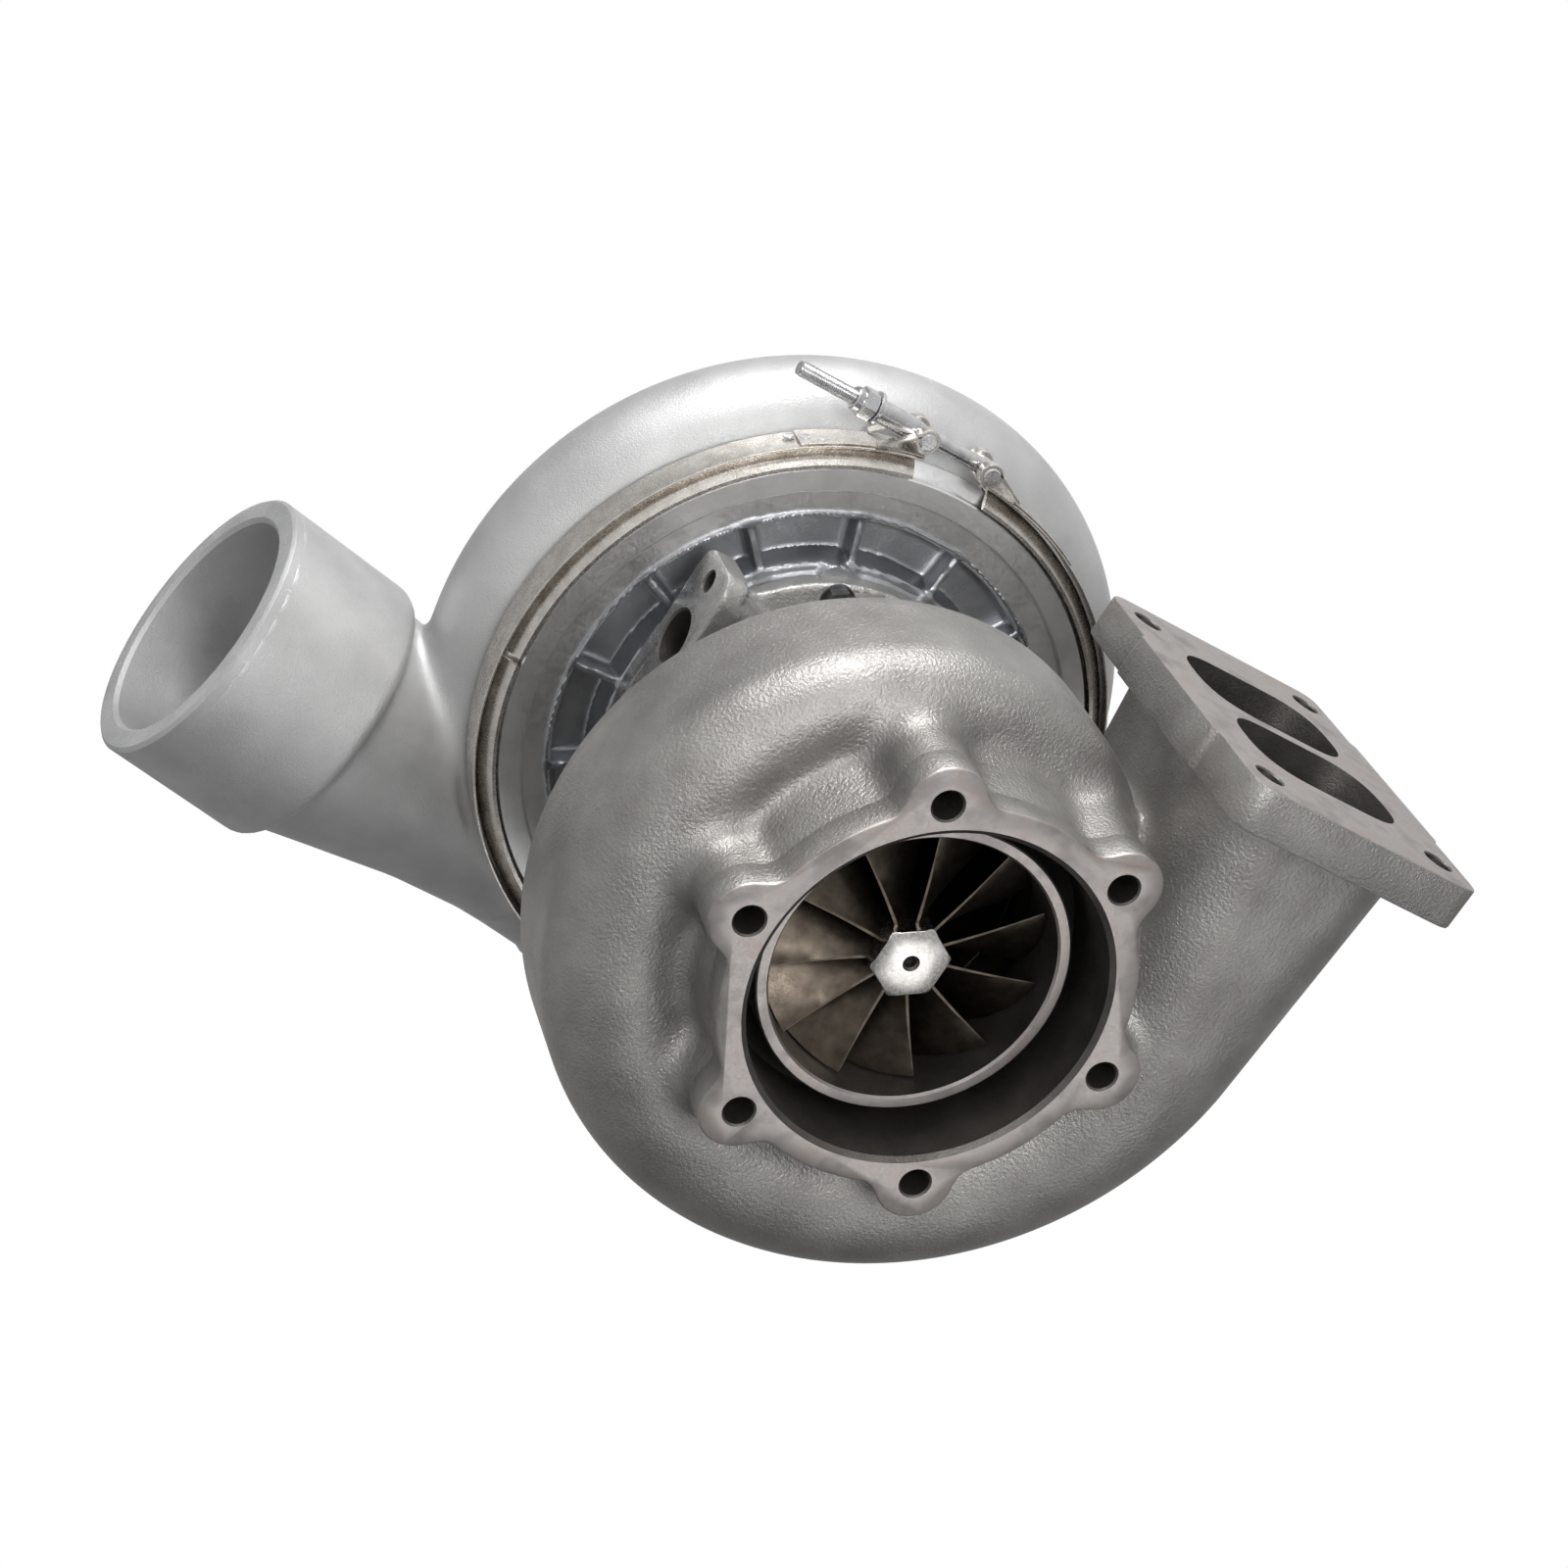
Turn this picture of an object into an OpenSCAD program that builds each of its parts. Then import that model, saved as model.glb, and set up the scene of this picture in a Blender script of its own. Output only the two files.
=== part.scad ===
// Large twin-entry turbocharger: divided turbine housing, plain-bearing centre housing,
// ribbed compressor backplate and a scroll compressor housing held by a V-band clamp.
// The origin is on the shaft axis in the turbine outlet face. +Y runs along the shaft to
// the compressor inlet, +Z is up as installed, and the turbine inlet flange faces -X.
// Angles round the shaft are measured from +X towards +Z.

/* [Turbine outlet] */
// Bolt circle of the turbine outlet flange
outlet_pcd = 152.4; // [150:0.2:156]
// Diameter of the outlet flange bolt holes
outlet_hole_d = 11; // [9:0.5:12]
// Thickness of the lobed outlet flange
outlet_flange_t = 14; // [10:1:18]

/* [Turbine inlet] */
// Distance from the shaft to the turbine inlet face
inlet_reach = 122.7; // [118:0.1:135]
// Bolt spacing of the inlet flange along the shaft
inlet_pitch_y = 124; // [122:1:128]
// Bolt spacing of the inlet flange upwards
inlet_pitch_z = 80; // [78:1:84]
// Thickness of the inlet flange
inlet_t = 17; // [14:1:20]
// Diameter of the inlet flange bolt holes
inlet_hole_d = 11; // [10:0.5:12]

/* [Turbine volute] */
// Middle plane of the divided volute
volute_y = 72.4; // [72:0.1:73]
// Radius of the volute centre line where the duct joins
volute_a = 111.6; // [110:0.1:113]
// Section radius where the duct joins
volute_rho = 41.3; // [40:0.1:43]
// Wall thickness of the volute
volute_wall = 7.5; // [6:0.5:8]

/* [Turbine wheel] */
// Tip radius of the turbine wheel at its inlet
turbine_tip_r = 56; // [54:0.5:56]
// Tip radius of the turbine wheel at its outlet
turbine_exit_r = 51; // [48:0.5:51]
// Number of turbine blades
turbine_blades = 11; // [9:1:12]

/* [Compressor] */
// Plane of the V-band joint
joint_y = 194; // [193:0.5:195]
// Tip radius of the compressor wheel at its outlet
impeller_tip_r = 66.5; // [60:0.5:66.5]
// Tip radius of the compressor wheel at its inlet
impeller_eye_r = 46; // [42:0.5:46]
// Number of full compressor blades, with as many short ones between
impeller_blades = 7; // [6:1:8]
// Outer radius of the compressor outlet hose spigot
spigot_r = 58; // [56:0.5:60]
// Bore radius of the compressor outlet
spigot_bore_r = 47.5; // [46:0.5:49]
// Outer radius of the compressor inlet hose spigot
eye_spigot_r = 76.2; // [74:0.2:80]
// Plane of the compressor inlet face
eye_face_y = 330; // [320:1:340]

/* [Bearings] */
// Radius of the shaft journals
journal_r = 8.5; // [8:0.1:8.5]
// Outer radius of the floating bearings
bearing_r = 12.5; // [12.4:0.1:12.6]
// Running clearance of shaft and bearings, on radius
film = 0.06; // [0.03:0.01:0.08]

/* [V-band clamp] */
// Outer radius of the clamp strap
strap_r = 128.4; // [128:0.1:129]
// Radius of the T-bolt thread
tbolt_r = 3.175; // [3:0.025:3.3]
// Width across the flats of the clamp nut
nut_flats = 11.1; // [10:0.1:12]

/* [Hidden] */

// Axial stations along the shaft
lip_y = 20;
hex_face_y = 24.9;
nozzle_y0 = 60;
nozzle_y1 = 80;
seat_y = 98;
core_flange_t = 10;
core_end_y = 186;
land_y = 187;
diffuser_y0 = 203.5;
diffuser_y1 = 209.5;
scroll_face_y = 204.5;
wheel_back_y = 199.8;
stub_y = 161;
shaft_end_y = 271;

// Turbine casting
lobe_r = 14.5;
rim_r = 75.5;
lip_r = 57;
lip_bore_r = 52.5;
volute_turn = 318;
inlet_y = volute_y;
inlet_z = 106.5;
inlet_w = 156.8;
inlet_h = 104;
pocket_r = 70;
core_pilot_r = 66;
divider = 5;

// Centre housing
core_r = 40;
core_bolt_r = 61.5;
core_bolts = 8;
plate_flange_r = 76;
plate_bolt_r = 69;
plate_bolt_angles = [22.5, 67.5, 112.5, 157.5, 202.5, 292.5, 337.5];
drain_x = -26;
drain_y = 167.5;
drain_z = -80;
drain_pitch = 50;
drain_bore_r = 11;
feed_z = 52;
feed_y = 142;
feed_pitch = 38;
stub_r = 5.5;
housing_bore_r = bearing_r + film;
bearing_y = [106, 142];
bearing_len = 13;
collar_r = 14;
plate_pocket_r = 31;

// Compressor casting
pilot_r = 113;
flange_r = 125;
scroll_a = 124.8;
scroll_da = -15.5;
scroll_rho = 20;
scroll_drho = 18;
scroll_wall = 6;
scroll_start = 335;
scroll_turn = 348;
outlet_az = 258.6;
outlet_offset = 117;
outlet_y = 240;
outlet_end = 200;
collar_start = 137;
rib_count = 14;
rib_angle = 197.7;
recess_r = 97.5;

// Clamp
gap_angle = 184.5;
gap_half = 6;
segments = 4;
tbolt_x = -132.8;
head_z = 3.7;
saddle_z = -26.7;
nut_z = -50;

// Places children on the shaft axis with their own Z along the shaft
module along(y) {
    translate([0, y, 0]) rotate([-90, 0, 0]) children();
}

// Turned body from [radius, station] points
module turned(points, sides = 96) {
    rotate([-90, 0, 0]) rotate_extrude($fn = sides) polygon(points);
}

// Places children at a radius, an angle and a station, with Z along the shaft
module polar(r, a, y) {
    translate([r * cos(a), y, r * sin(a)]) rotate([-90, 0, 0]) children();
}

function lerp(a, b, k) = a + (b - a) * k;
function flat(v) = max(-1, min(1, 3 * v));

// One ring of n points: a rounded rectangle in the plane of direction e and the shaft
function ring(c, e, half_r, half_y, corner, n) = [
    for (i = [0 : n - 1])
        let (t = 360 * i / n)
        let (pr = (half_r - corner) * flat(cos(t)) + corner * cos(t))
        let (py = (half_y - corner) * flat(sin(t)) + corner * sin(t))
        [c[0] + e[0] * pr, c[1] + py, c[2] + e[1] * pr]
];

// Closed skin over a list of rings that all have n points
module skin(rings) {
    n = len(rings[0]);
    m = len(rings);
    points = [for (one = rings) each one];
    sides = [
        for (j = [0 : m - 2], i = [0 : n - 1])
            let (k = (i + 1) % n)
            each [
                [j * n + i, (j + 1) * n + k, (j + 1) * n + i],
                [j * n + i, j * n + k, (j + 1) * n + k]
            ]
    ];
    first_cap = [for (i = [n - 1 : -1 : 0]) i];
    last_cap = [for (i = [0 : n - 1]) (m - 1) * n + i];
    polyhedron(points, concat(sides, [first_cap], [last_cap]), convexity = 6);
}

function centre(ring) = [for (c = [0 : 2]) sum_of(ring, c, len(ring) - 1) / len(ring)];
function sum_of(ring, c, i) = i < 0 ? 0 : ring[i][c] + sum_of(ring, c, i - 1);
function shrunk(ring, scale) = let (m = centre(ring)) [for (p = ring) m + (p - m) * scale];

// Skin that passes over its own start, made as two that reach a little into each other
module overlapping_skin(rings) {
    middle = floor(len(rings) / 2);
    between = (rings[middle] + rings[middle + 1]) / 2;
    skin(concat([for (i = [0 : middle]) rings[i]], [shrunk(between, 0.9)]));
    skin(concat([shrunk(rings[middle - 1], 0.96), shrunk(rings[middle], 0.985)],
        [for (i = [middle + 1 : len(rings) - 1]) rings[i]]));
}

// Blended cast body, kept as one skin
module cast() {
    resize([0, 0, 0]) children();
}

// ---- turbine housing ----

// Share of the full turn used up at angle a
function volute_s(a) = (90 - a) / 360;
function volute_centre(a) = volute_a - 31.85 * volute_s(a);
function volute_section(a) = volute_rho - 32.9 * volute_s(a);
function volute_half(a) = 19.5 - 5.8 * volute_s(a);

function volute_ring(a) =
    let (r = volute_centre(a), rho = volute_section(a))
    ring([r * cos(a), volute_y, r * sin(a)], [cos(a), sin(a)], rho,
        rho + volute_half(a), rho, 16);

function duct_ring(k) = ring(
    [lerp(-inlet_reach + 3, 0, k), volute_y, lerp(inlet_z, volute_a, k)], [0, 1],
    lerp(46.5, volute_rho, k), lerp(58, volute_rho + 19.5, k),
    lerp(26, volute_rho, k), 16);

// Gas passage on one side of the divider; side is -1 or 1
function passage_width(a) = (volute_half(a) + volute_section(a) - volute_wall - divider / 2) / 2;
function passage_ring(a, side) =
    let (r = volute_centre(a), rr = volute_section(a) - volute_wall, w = passage_width(a))
    ring([r * cos(a), volute_y + side * (divider / 2 + w), r * sin(a)], [cos(a), sin(a)],
        rr, w, min(rr, w) * 0.9, 12);
function port_ring(k, side) =
    let (w = lerp(22.75, passage_width(90), k), rr = lerp(34, volute_rho - volute_wall, k))
    ring([lerp(-inlet_reach - 1, 0, k), volute_y + side * (lerp(3, divider / 2, k) + w),
        lerp(inlet_z, volute_a, k)], [0, 1], rr, w, lerp(16, min(rr, w) * 0.9, k), 12);

module volute_skin() {
    overlapping_skin(concat(
        [for (k = [0, 0.35, 0.7]) duct_ring(k)],
        [for (a = [90 : -volute_turn / 21 : 89 - volute_turn]) volute_ring(a)]));
}

module volute_passage(side) {
    skin(concat(
        [for (k = [0, 0.25, 0.5, 0.75]) port_ring(k, side)],
        [for (a = [90 : -15 : 105 - volute_turn]) passage_ring(a, side)]));
}

// Lobed outlet flange without its holes
module outlet_plate() {
    along(0) linear_extrude(height = outlet_flange_t)
        offset(r = -9) offset(r = 9) union() {
            circle(r = rim_r, $fn = 48);
            for (i = [0 : 5])
                rotate(30 + 60 * i) translate([outlet_pcd / 2, 0]) circle(r = lobe_r, $fn = 24);
        }
}

// Inlet flange, taller in the middle, without its ports and holes
module inlet_plate() {
    translate([-inlet_reach, inlet_y, inlet_z]) rotate([90, 0, 90])
        linear_extrude(height = inlet_t) union() {
            offset(r = 8) square([inlet_w - 16, inlet_h - 16], center = true);
            square([78, inlet_h + 4], center = true);
        }
}

// Inside of the turbine housing round the shaft: outlet recess and lip, shroud, wheel chamber,
// seat of the heat shield and pocket of the centre housing
turbine_void = [
    [0, -1], [66.5, -1], [65, 1.5], [65, 40], [lip_r + 0.5, 46], [lip_r, lip_y], [lip_bore_r + 0.8, lip_y],
    [lip_bore_r, lip_y + 1.5], [turbine_exit_r + 0.6, 32], [turbine_exit_r + 0.6, 46],
    [turbine_exit_r + 2.4, 55], [turbine_tip_r + 0.6, nozzle_y0], [turbine_tip_r + 0.6, 81],
    [56, 81.5], [56, seat_y - 1.5], [58, seat_y - 1.5], [58, seat_y], [core_pilot_r + 0.1, seat_y],
    [core_pilot_r + 0.1, seat_y + 5], [pocket_r, seat_y + 5], [pocket_r, 130], [0, 130]
];

// Casting with its flanges, two gas passages and the wheel chamber
module turbine_casting() {
    cast() difference() {
        union() {
            volute_skin();
            inlet_plate();
            outlet_plate();
            for (i = [0 : 5]) polar(outlet_pcd / 2 - 2, 30 + 60 * i, 3) cylinder(r = 12.5, h = 39, $fn = 24);
            turned([[0, 9], [73, 9], [88, 38], [90, 60], [88, 104], [80, 116], [0, 116]], 48);
        }
        volute_passage(-1);
        volute_passage(1);
        // Nozzle slots on each side of the divider
        turned([[40, nozzle_y0 + 0.5], [50, nozzle_y0 + 0.5], [87, nozzle_y0 - 2], [87, volute_y - 3.1],
            [61, volute_y - 1.5], [61, volute_y + 0.5], [87, volute_y + 3.1], [87, nozzle_y1 + 2],
            [50, nozzle_y1], [40, nozzle_y1]], 64);
        turned(turbine_void, 64);
        for (i = [0 : core_bolts - 1])
            polar(core_bolt_r, 22.5 + 45 * i, seat_y - 12) cylinder(r = 4.2, h = 13, $fn = 24);
    }
}

module turbine_housing() color([0.45, 0.44, 0.43]) {
    difference() {
        turbine_casting();
        for (i = [0 : 5])
            polar(outlet_pcd / 2, 30 + 60 * i, -1) cylinder(d = outlet_hole_d, h = 26, $fn = 40);
        for (sy = [-1, 1], sz = [-1, 1])
            translate([-inlet_reach - 1, inlet_y + sy * inlet_pitch_y / 2, inlet_z + sz * inlet_pitch_z / 2])
                rotate([0, 90, 0]) cylinder(d = inlet_hole_d, h = inlet_t + 2, $fn = 40);
    }
}

// ---- wheels ----

// Thin blades cut out of a turned outline; each is a flat plate tilted about its own radius
module blades(outline, count, middle_y, tilt, thickness, start) {
    intersection() {
        turned(outline);
        for (i = [0 : count - 1])
            rotate([0, -start - 360 * i / count, 0]) translate([5, middle_y, 0]) rotate([tilt, 0, 0])
                translate([0, -60, -thickness / 2]) cube([90, 120, thickness]);
    }
}

module turbine_wheel() color([0.30, 0.26, 0.22]) {
    difference() {
        union() {
            turned([[0, hex_face_y + 7], [11, hex_face_y + 7], [13.6, 36], [15, 42], [18, 54], [26, 66],
                [38, 74], [turbine_tip_r - 2, 78], [turbine_tip_r - 2, 79.6], [17, 79.6], [13, 80.8],
                [13, 95], [0, 95]]);
            blades([[10, 30], [turbine_exit_r, 30], [turbine_exit_r, 45], [turbine_exit_r + 1.5, 55],
                [turbine_tip_r, nozzle_y0 + 1], [turbine_tip_r, 79.2], [10, 79.2]],
                turbine_blades, 66, 15, 2.2, 0);
            along(hex_face_y) cylinder(r = 15, h = 9, $fn = 6);
        }
        along(hex_face_y - 1) cylinder(r = 2.2, h = 7, $fn = 24);
        // Groove of the piston ring
        turned([[11.2, 87], [14, 87], [14, 89], [11.2, 89]]);
        along(90) cylinder(r = 6, h = 6, $fn = 40);
    }
}

// Points on a quadratic curve from a to c that bends towards b
function bend(a, b, c, k) = a * (1 - k) * (1 - k) + b * 2 * k * (1 - k) + c * k * k;

// Outline of the compressor blades along the shroud, from the eye to the tip
shroud_points = [
    for (k = [0 : 0.2 : 1])
        bend([impeller_eye_r, 252], [impeller_eye_r + 1, 211], [impeller_tip_r, diffuser_y1 - 0.5], k)
];
shroud_gap = 0.6;

module compressor_wheel() color([0.80, 0.81, 0.82]) {
    difference() {
        union() {
            turned([[0, 257], [11, 257], [13.8, 252], [15.5, 238], [20, 224], [30, 213], [46, 206.5],
                [impeller_tip_r, 203.8], [impeller_tip_r, 201.4], [40, wheel_back_y + 1], [20, wheel_back_y],
                [0, wheel_back_y]]);
            blades(concat([[10, 252]], shroud_points, [[impeller_tip_r, 203], [10, 203]]),
                impeller_blades, 216, 20, 1.8, 0);
            blades([[14, 240], for (p = shroud_points) if (p[1] < 240) p, [impeller_tip_r, 203], [14, 203]],
                impeller_blades, 216, 20, 1.8, 180 / impeller_blades);
        }
        along(wheel_back_y - 1) cylinder(r = stub_r + 0.02, h = 60, $fn = 48);
    }
}

module compressor_nut() color([0.55, 0.55, 0.57]) {
    difference() {
        union() {
            along(257) cylinder(r = 10.5, h = 2, $fn = 48);
            along(259) cylinder(r = 9.8, h = 8, $fn = 6);
        }
        along(256) cylinder(r = stub_r + 0.02, h = 13, $fn = 48);
    }
}

module rotor_shaft() color([0.62, 0.62, 0.63]) {
    turned([[0, 90], [5.98, 90], [5.98, 95], [journal_r + 1.2, 95], [journal_r + 1.2, 101], [journal_r, 103],
        [journal_r, 121], [journal_r - 0.8, 122], [journal_r - 0.8, 139], [journal_r, 140],
        [journal_r, stub_y], [stub_r, stub_y], [stub_r, shaft_end_y - 1], [stub_r - 1, shaft_end_y],
        [0, shaft_end_y]]);
}

// ---- seals, bearings and core ----

module split_ring(r0, r1, y, h, gap) {
    along(y) difference() {
        cylinder(r = r1, h = h, $fn = 64);
        translate([0, 0, -1]) cylinder(r = r0, h = h + 2, $fn = 64);
        translate([0, -gap / 2, -1]) cube([r1 + 1, gap, h + 2]);
    }
}

module turbine_seal_ring() color([0.35, 0.35, 0.36]) {
    split_ring(11.35, 13.5, 87.2, 1.6, 0.4);
}

module compressor_seal_ring() color([0.35, 0.35, 0.36]) {
    split_ring(7.4, 9.4, 182.2, 1.6, 0.4);
}

module heat_shield() color([0.50, 0.46, 0.42]) {
    turned([[17, 81.2], [53.5, 81.2], [55.2, 82.9], [55.2, seat_y - 1.4], [57.6, seat_y - 1.4],
        [57.6, seat_y - 0.1], [53.7, seat_y - 0.1], [53.7, 83.6], [52.8, 82.7], [17, 82.7]]);
}

module drain_pad() {
    hull() {
        translate([drain_x, drain_y, drain_z]) linear_extrude(height = 12) offset(r = 4)
            polygon([[-32, -2], [-32, 14.5], [32, 14.5], [32, -2], [12, -14.5], [-12, -14.5]]);
        translate([drain_x + 8, drain_y - 4, -30]) cube([50, 28, 20], center = true);
    }
}

module centre_housing() color([0.42, 0.41, 0.40]) {
    difference() {
        union() {
            turned([[0, 84.5], [24, 84.5], [28, 92], [50, 94], [50, seat_y], [core_pilot_r, seat_y],
                [core_pilot_r, seat_y + core_flange_t], [48, seat_y + core_flange_t], [core_r, 118],
                [core_r, 162], [54, core_end_y - 9], [plate_flange_r, core_end_y - 9],
                [plate_flange_r, core_end_y], [58, core_end_y], [58, core_end_y + 3], [0, core_end_y + 3]]);
            drain_pad();
            translate([-33, feed_y - 16, 20]) cube([66, 32, feed_z - 20]);
        }
        // Seal bore, bearing bores and the oil cavity between them
        along(80) cylinder(r = 13.55, h = 18, $fn = 64);
        along(97) cylinder(r = 11, h = 90, $fn = 64);
        for (y = bearing_y) {
            along(y - 2) cylinder(r = housing_bore_r, h = bearing_len + 4, $fn = 96);
            for (end = [-1.7, bearing_len + 0.3])
                along(y + end) cylinder(r = 13.8, h = 1.4, $fn = 64);
        }
        turned([[0, 124], [22, 124], [27, 128], [27, 133], [22, 137], [0, 137]]);
        turned([[0, stub_y], [29, stub_y], [29, 168], [plate_pocket_r, 168], [plate_pocket_r, 186],
            [plate_pocket_r, 200], [0, 200]]);
        along(184) cylinder(r = plate_pocket_r + 1.5, h = 1.8, $fn = 64);
        // Drain from the oil cavity and the thrust end down to the pad
        translate([drain_x, drain_y, drain_z - 1]) cylinder(r = drain_bore_r, h = 21, $fn = 48);
        translate([drain_x, drain_y, drain_z + 19]) cylinder(r = drain_bore_r - 1, h = 46, $fn = 48);
        translate([-22, 124, -26]) cube([20, 46, 12]);
        for (side = [-1, 1])
            translate([drain_x + side * drain_pitch / 2, drain_y, drain_z - 1])
                cylinder(r = 4.2, h = 17, $fn = 32);
        // Oil feed from the top pad to both bearings
        translate([0, feed_y, 18]) cylinder(r = 4, h = 54, $fn = 32);
        translate([0, feed_y, feed_z - 12]) cylinder(r = 7, h = 13, $fn = 32);
        along(110) translate([0, -18, 0]) cylinder(r = 2.2, h = 42, $fn = 24);
        for (y = bearing_y) translate([0, y + bearing_len / 2, 10]) cylinder(r = 1.5, h = 9, $fn = 20);
        for (side = [-1, 1])
            translate([side * feed_pitch / 2, feed_y, feed_z - 16]) cylinder(r = 3.4, h = 17, $fn = 32);
        for (i = [0 : core_bolts - 1])
            polar(core_bolt_r, 22.5 + 45 * i, seat_y - 1) cylinder(r = 4.3, h = 14, $fn = 32);
        for (a = plate_bolt_angles)
            polar(plate_bolt_r, a, core_end_y - 14) cylinder(r = 4.3, h = 20, $fn = 32);
    }
}

// Flanged hexagon bolt that points along +Y from its seat
module hex_bolt(length) {
    translate([0, 0, -6.5]) cylinder(r = 6.6, h = 5.2, $fn = 6);
    translate([0, 0, -1.5]) cylinder(r = 7.2, h = 1.5, $fn = 32);
    cylinder(r = 3.9, h = length, $fn = 32);
}

module turbine_housing_bolts() color([0.50, 0.50, 0.52]) {
    for (i = [0 : core_bolts - 1])
        polar(core_bolt_r, 22.5 + 45 * i, seat_y + core_flange_t + 0.02)
            mirror([0, 0, 1]) hex_bolt(core_flange_t + 11);
}

module backplate_bolts() color([0.50, 0.50, 0.52]) {
    for (a = plate_bolt_angles)
        polar(plate_bolt_r, a, core_end_y - 9.02) hex_bolt(19);
}

module journal_bearing(y) {
    difference() {
        along(y) cylinder(r = bearing_r, h = bearing_len, $fn = 96);
        along(y - 1) cylinder(r = journal_r + film, h = bearing_len + 2, $fn = 96);
        for (a = [0 : 60 : 300])
            translate([0, y + bearing_len / 2, 0]) rotate([0, a, 0]) cylinder(r = 1.2, h = 14, $fn = 16);
    }
}

module journal_bearing_turbine() color([0.78, 0.60, 0.32]) {
    journal_bearing(bearing_y[0]);
}

module journal_bearing_compressor() color([0.78, 0.60, 0.32]) {
    journal_bearing(bearing_y[1]);
}

module bearing_retaining_rings() color([0.45, 0.45, 0.46]) {
    for (y = bearing_y, end = [-1.6, bearing_len + 0.4])
        split_ring(10.6, 13.7, y + end, 1.2, 5);
}

module thrust_bearing() color([0.76, 0.58, 0.30]) {
    difference() {
        along(stub_y + 3.4) cylinder(r = 28.9, h = 4, $fn = 72);
        along(stub_y + 2) cylinder(r = 8.2, h = 7, $fn = 48);
        translate([-8.2, stub_y + 2, -40]) cube([16.4, 7, 40]);
    }
}

module thrust_collar() color([0.58, 0.58, 0.60]) {
    turned([[stub_r + 0.02, stub_y], [collar_r, stub_y], [collar_r, stub_y + 3.3], [8, stub_y + 3.3],
        [8, stub_y + 7.5], [collar_r, stub_y + 7.5], [collar_r, stub_y + 11], [stub_r + 0.02, stub_y + 11]]);
}

module oil_flinger() color([0.60, 0.60, 0.62]) {
    turned([[stub_r + 0.02, stub_y + 11.02], [13, stub_y + 11.02], [13, 175], [9, 177], [9, 182], [7.2, 182],
        [7.2, 184], [9, 184], [9, wheel_back_y - 0.02], [stub_r + 0.02, wheel_back_y - 0.02]]);
}

module seal_plate() color([0.55, 0.54, 0.52]) {
    turned([[9.45, 177.5], [14, 177.5], [20, 178.5], [plate_pocket_r - 0.05, 178.5],
        [plate_pocket_r - 0.05, 183.6], [26, 183.6], [24, 186], [24, 189], [9.45, 189]]);
}

module seal_plate_ring() color([0.45, 0.45, 0.46]) {
    split_ring(27.5, plate_pocket_r + 1.4, 184.1, 1.6, 9);
}

// ---- compressor side ----

module compressor_backplate() color([0.74, 0.75, 0.77]) {
    difference() {
        union() {
            turned([[34, 192], [58.05, 192], [58.05, core_end_y + 0.02], [80, core_end_y + 0.02], [80, 198.5],
                [recess_r, 199.5], [recess_r, 190], [109, 190], [109.5, land_y], [119, land_y],
                [119.5, 190.2], [flange_r, 192.2], [flange_r, joint_y - 0.05], [pilot_r, joint_y - 0.05],
                [pilot_r, 197.4], [110.6, 197.4], [110.6, 200.6], [pilot_r, 200.6], [pilot_r, diffuser_y0],
                [68, diffuser_y0], [67.5, 200.6], [40, 199.2], [34, 199.2]]);
            for (i = [0 : rib_count - 1])
                polar(79, rib_angle + 360 * i / rib_count, 190.5)
                    rotate([0, 0, -rib_angle - 360 * i / rib_count]) translate([0, -1.6, 0])
                        cube([19.5, 3.2, 9.5]);
        }
        // Blind holes of the bolts from the centre housing
        for (a = plate_bolt_angles)
            polar(plate_bolt_r, a, core_end_y - 1) cylinder(r = 4, h = 12.5, $fn = 32);
    }
}

module backplate_oring() color([0.08, 0.08, 0.08]) {
    rotate([-90, 0, 0]) rotate_extrude($fn = 96) translate([111.82, 199]) circle(r = 1.18, $fn = 20);
}

function scroll_u(a) = (scroll_start - a) / scroll_turn;
function scroll_section(a) = scroll_rho + scroll_drho * scroll_u(a);
function scroll_centre(a) = scroll_a + scroll_da * scroll_u(a);
function scroll_ring(a, wall, n) =
    let (rho = scroll_section(a), r = scroll_centre(a))
    ring([r * cos(a), scroll_face_y + rho, r * sin(a)], [cos(a), sin(a)], rho - wall,
        rho - wall, rho - wall, n);

function outlet_point(along_d, across) = [
    along_d * cos(outlet_az) - across * sin(outlet_az), along_d * sin(outlet_az) + across * cos(outlet_az)
];

// Ring of the outlet cone from one row of cone_steps
function cone_ring(step, wall, n) =
    let (rho = lerp(scroll_rho + scroll_drho, 53, step[1]) - wall * (1 + 0.35 * step[1]))
    let (p = outlet_point(step[0], lerp(111, outlet_offset, step[1])))
    ring([p[0], step[2], p[1]], [-sin(outlet_az), cos(outlet_az)], rho, rho, rho, n);

// Distance along the outlet, share of the way to the spigot, and station of the centre
cone_steps = [[35, 0.22, 246], [75, 0.5, 247], [110, 0.78, 243], [collar_start + 2, 1, outlet_y]];

module scroll_skin(wall, n, steps) {
    overlapping_skin(concat(
        [for (i = [0 : steps]) scroll_ring(scroll_start - scroll_turn * i / steps, wall, n)],
        [for (one = cone_steps) cone_ring(one, wall, n)]));
}

// Cast body of the compressor housing with the scroll passage
module compressor_casting() {
    cast() difference() {
        union() {
            scroll_skin(0, 16, 24);
            turned([[0, 205.5], [118, 205.5], [123, 214], [111, 226], [88, 236], [84, 262], [78, 274],
                [72, 284], [0, 284]]);
        }
        scroll_skin(scroll_wall, 12, 24);
        turned([[102, 200], [116, 200], [117, 222], [102, 214]]);
    }
}

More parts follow.
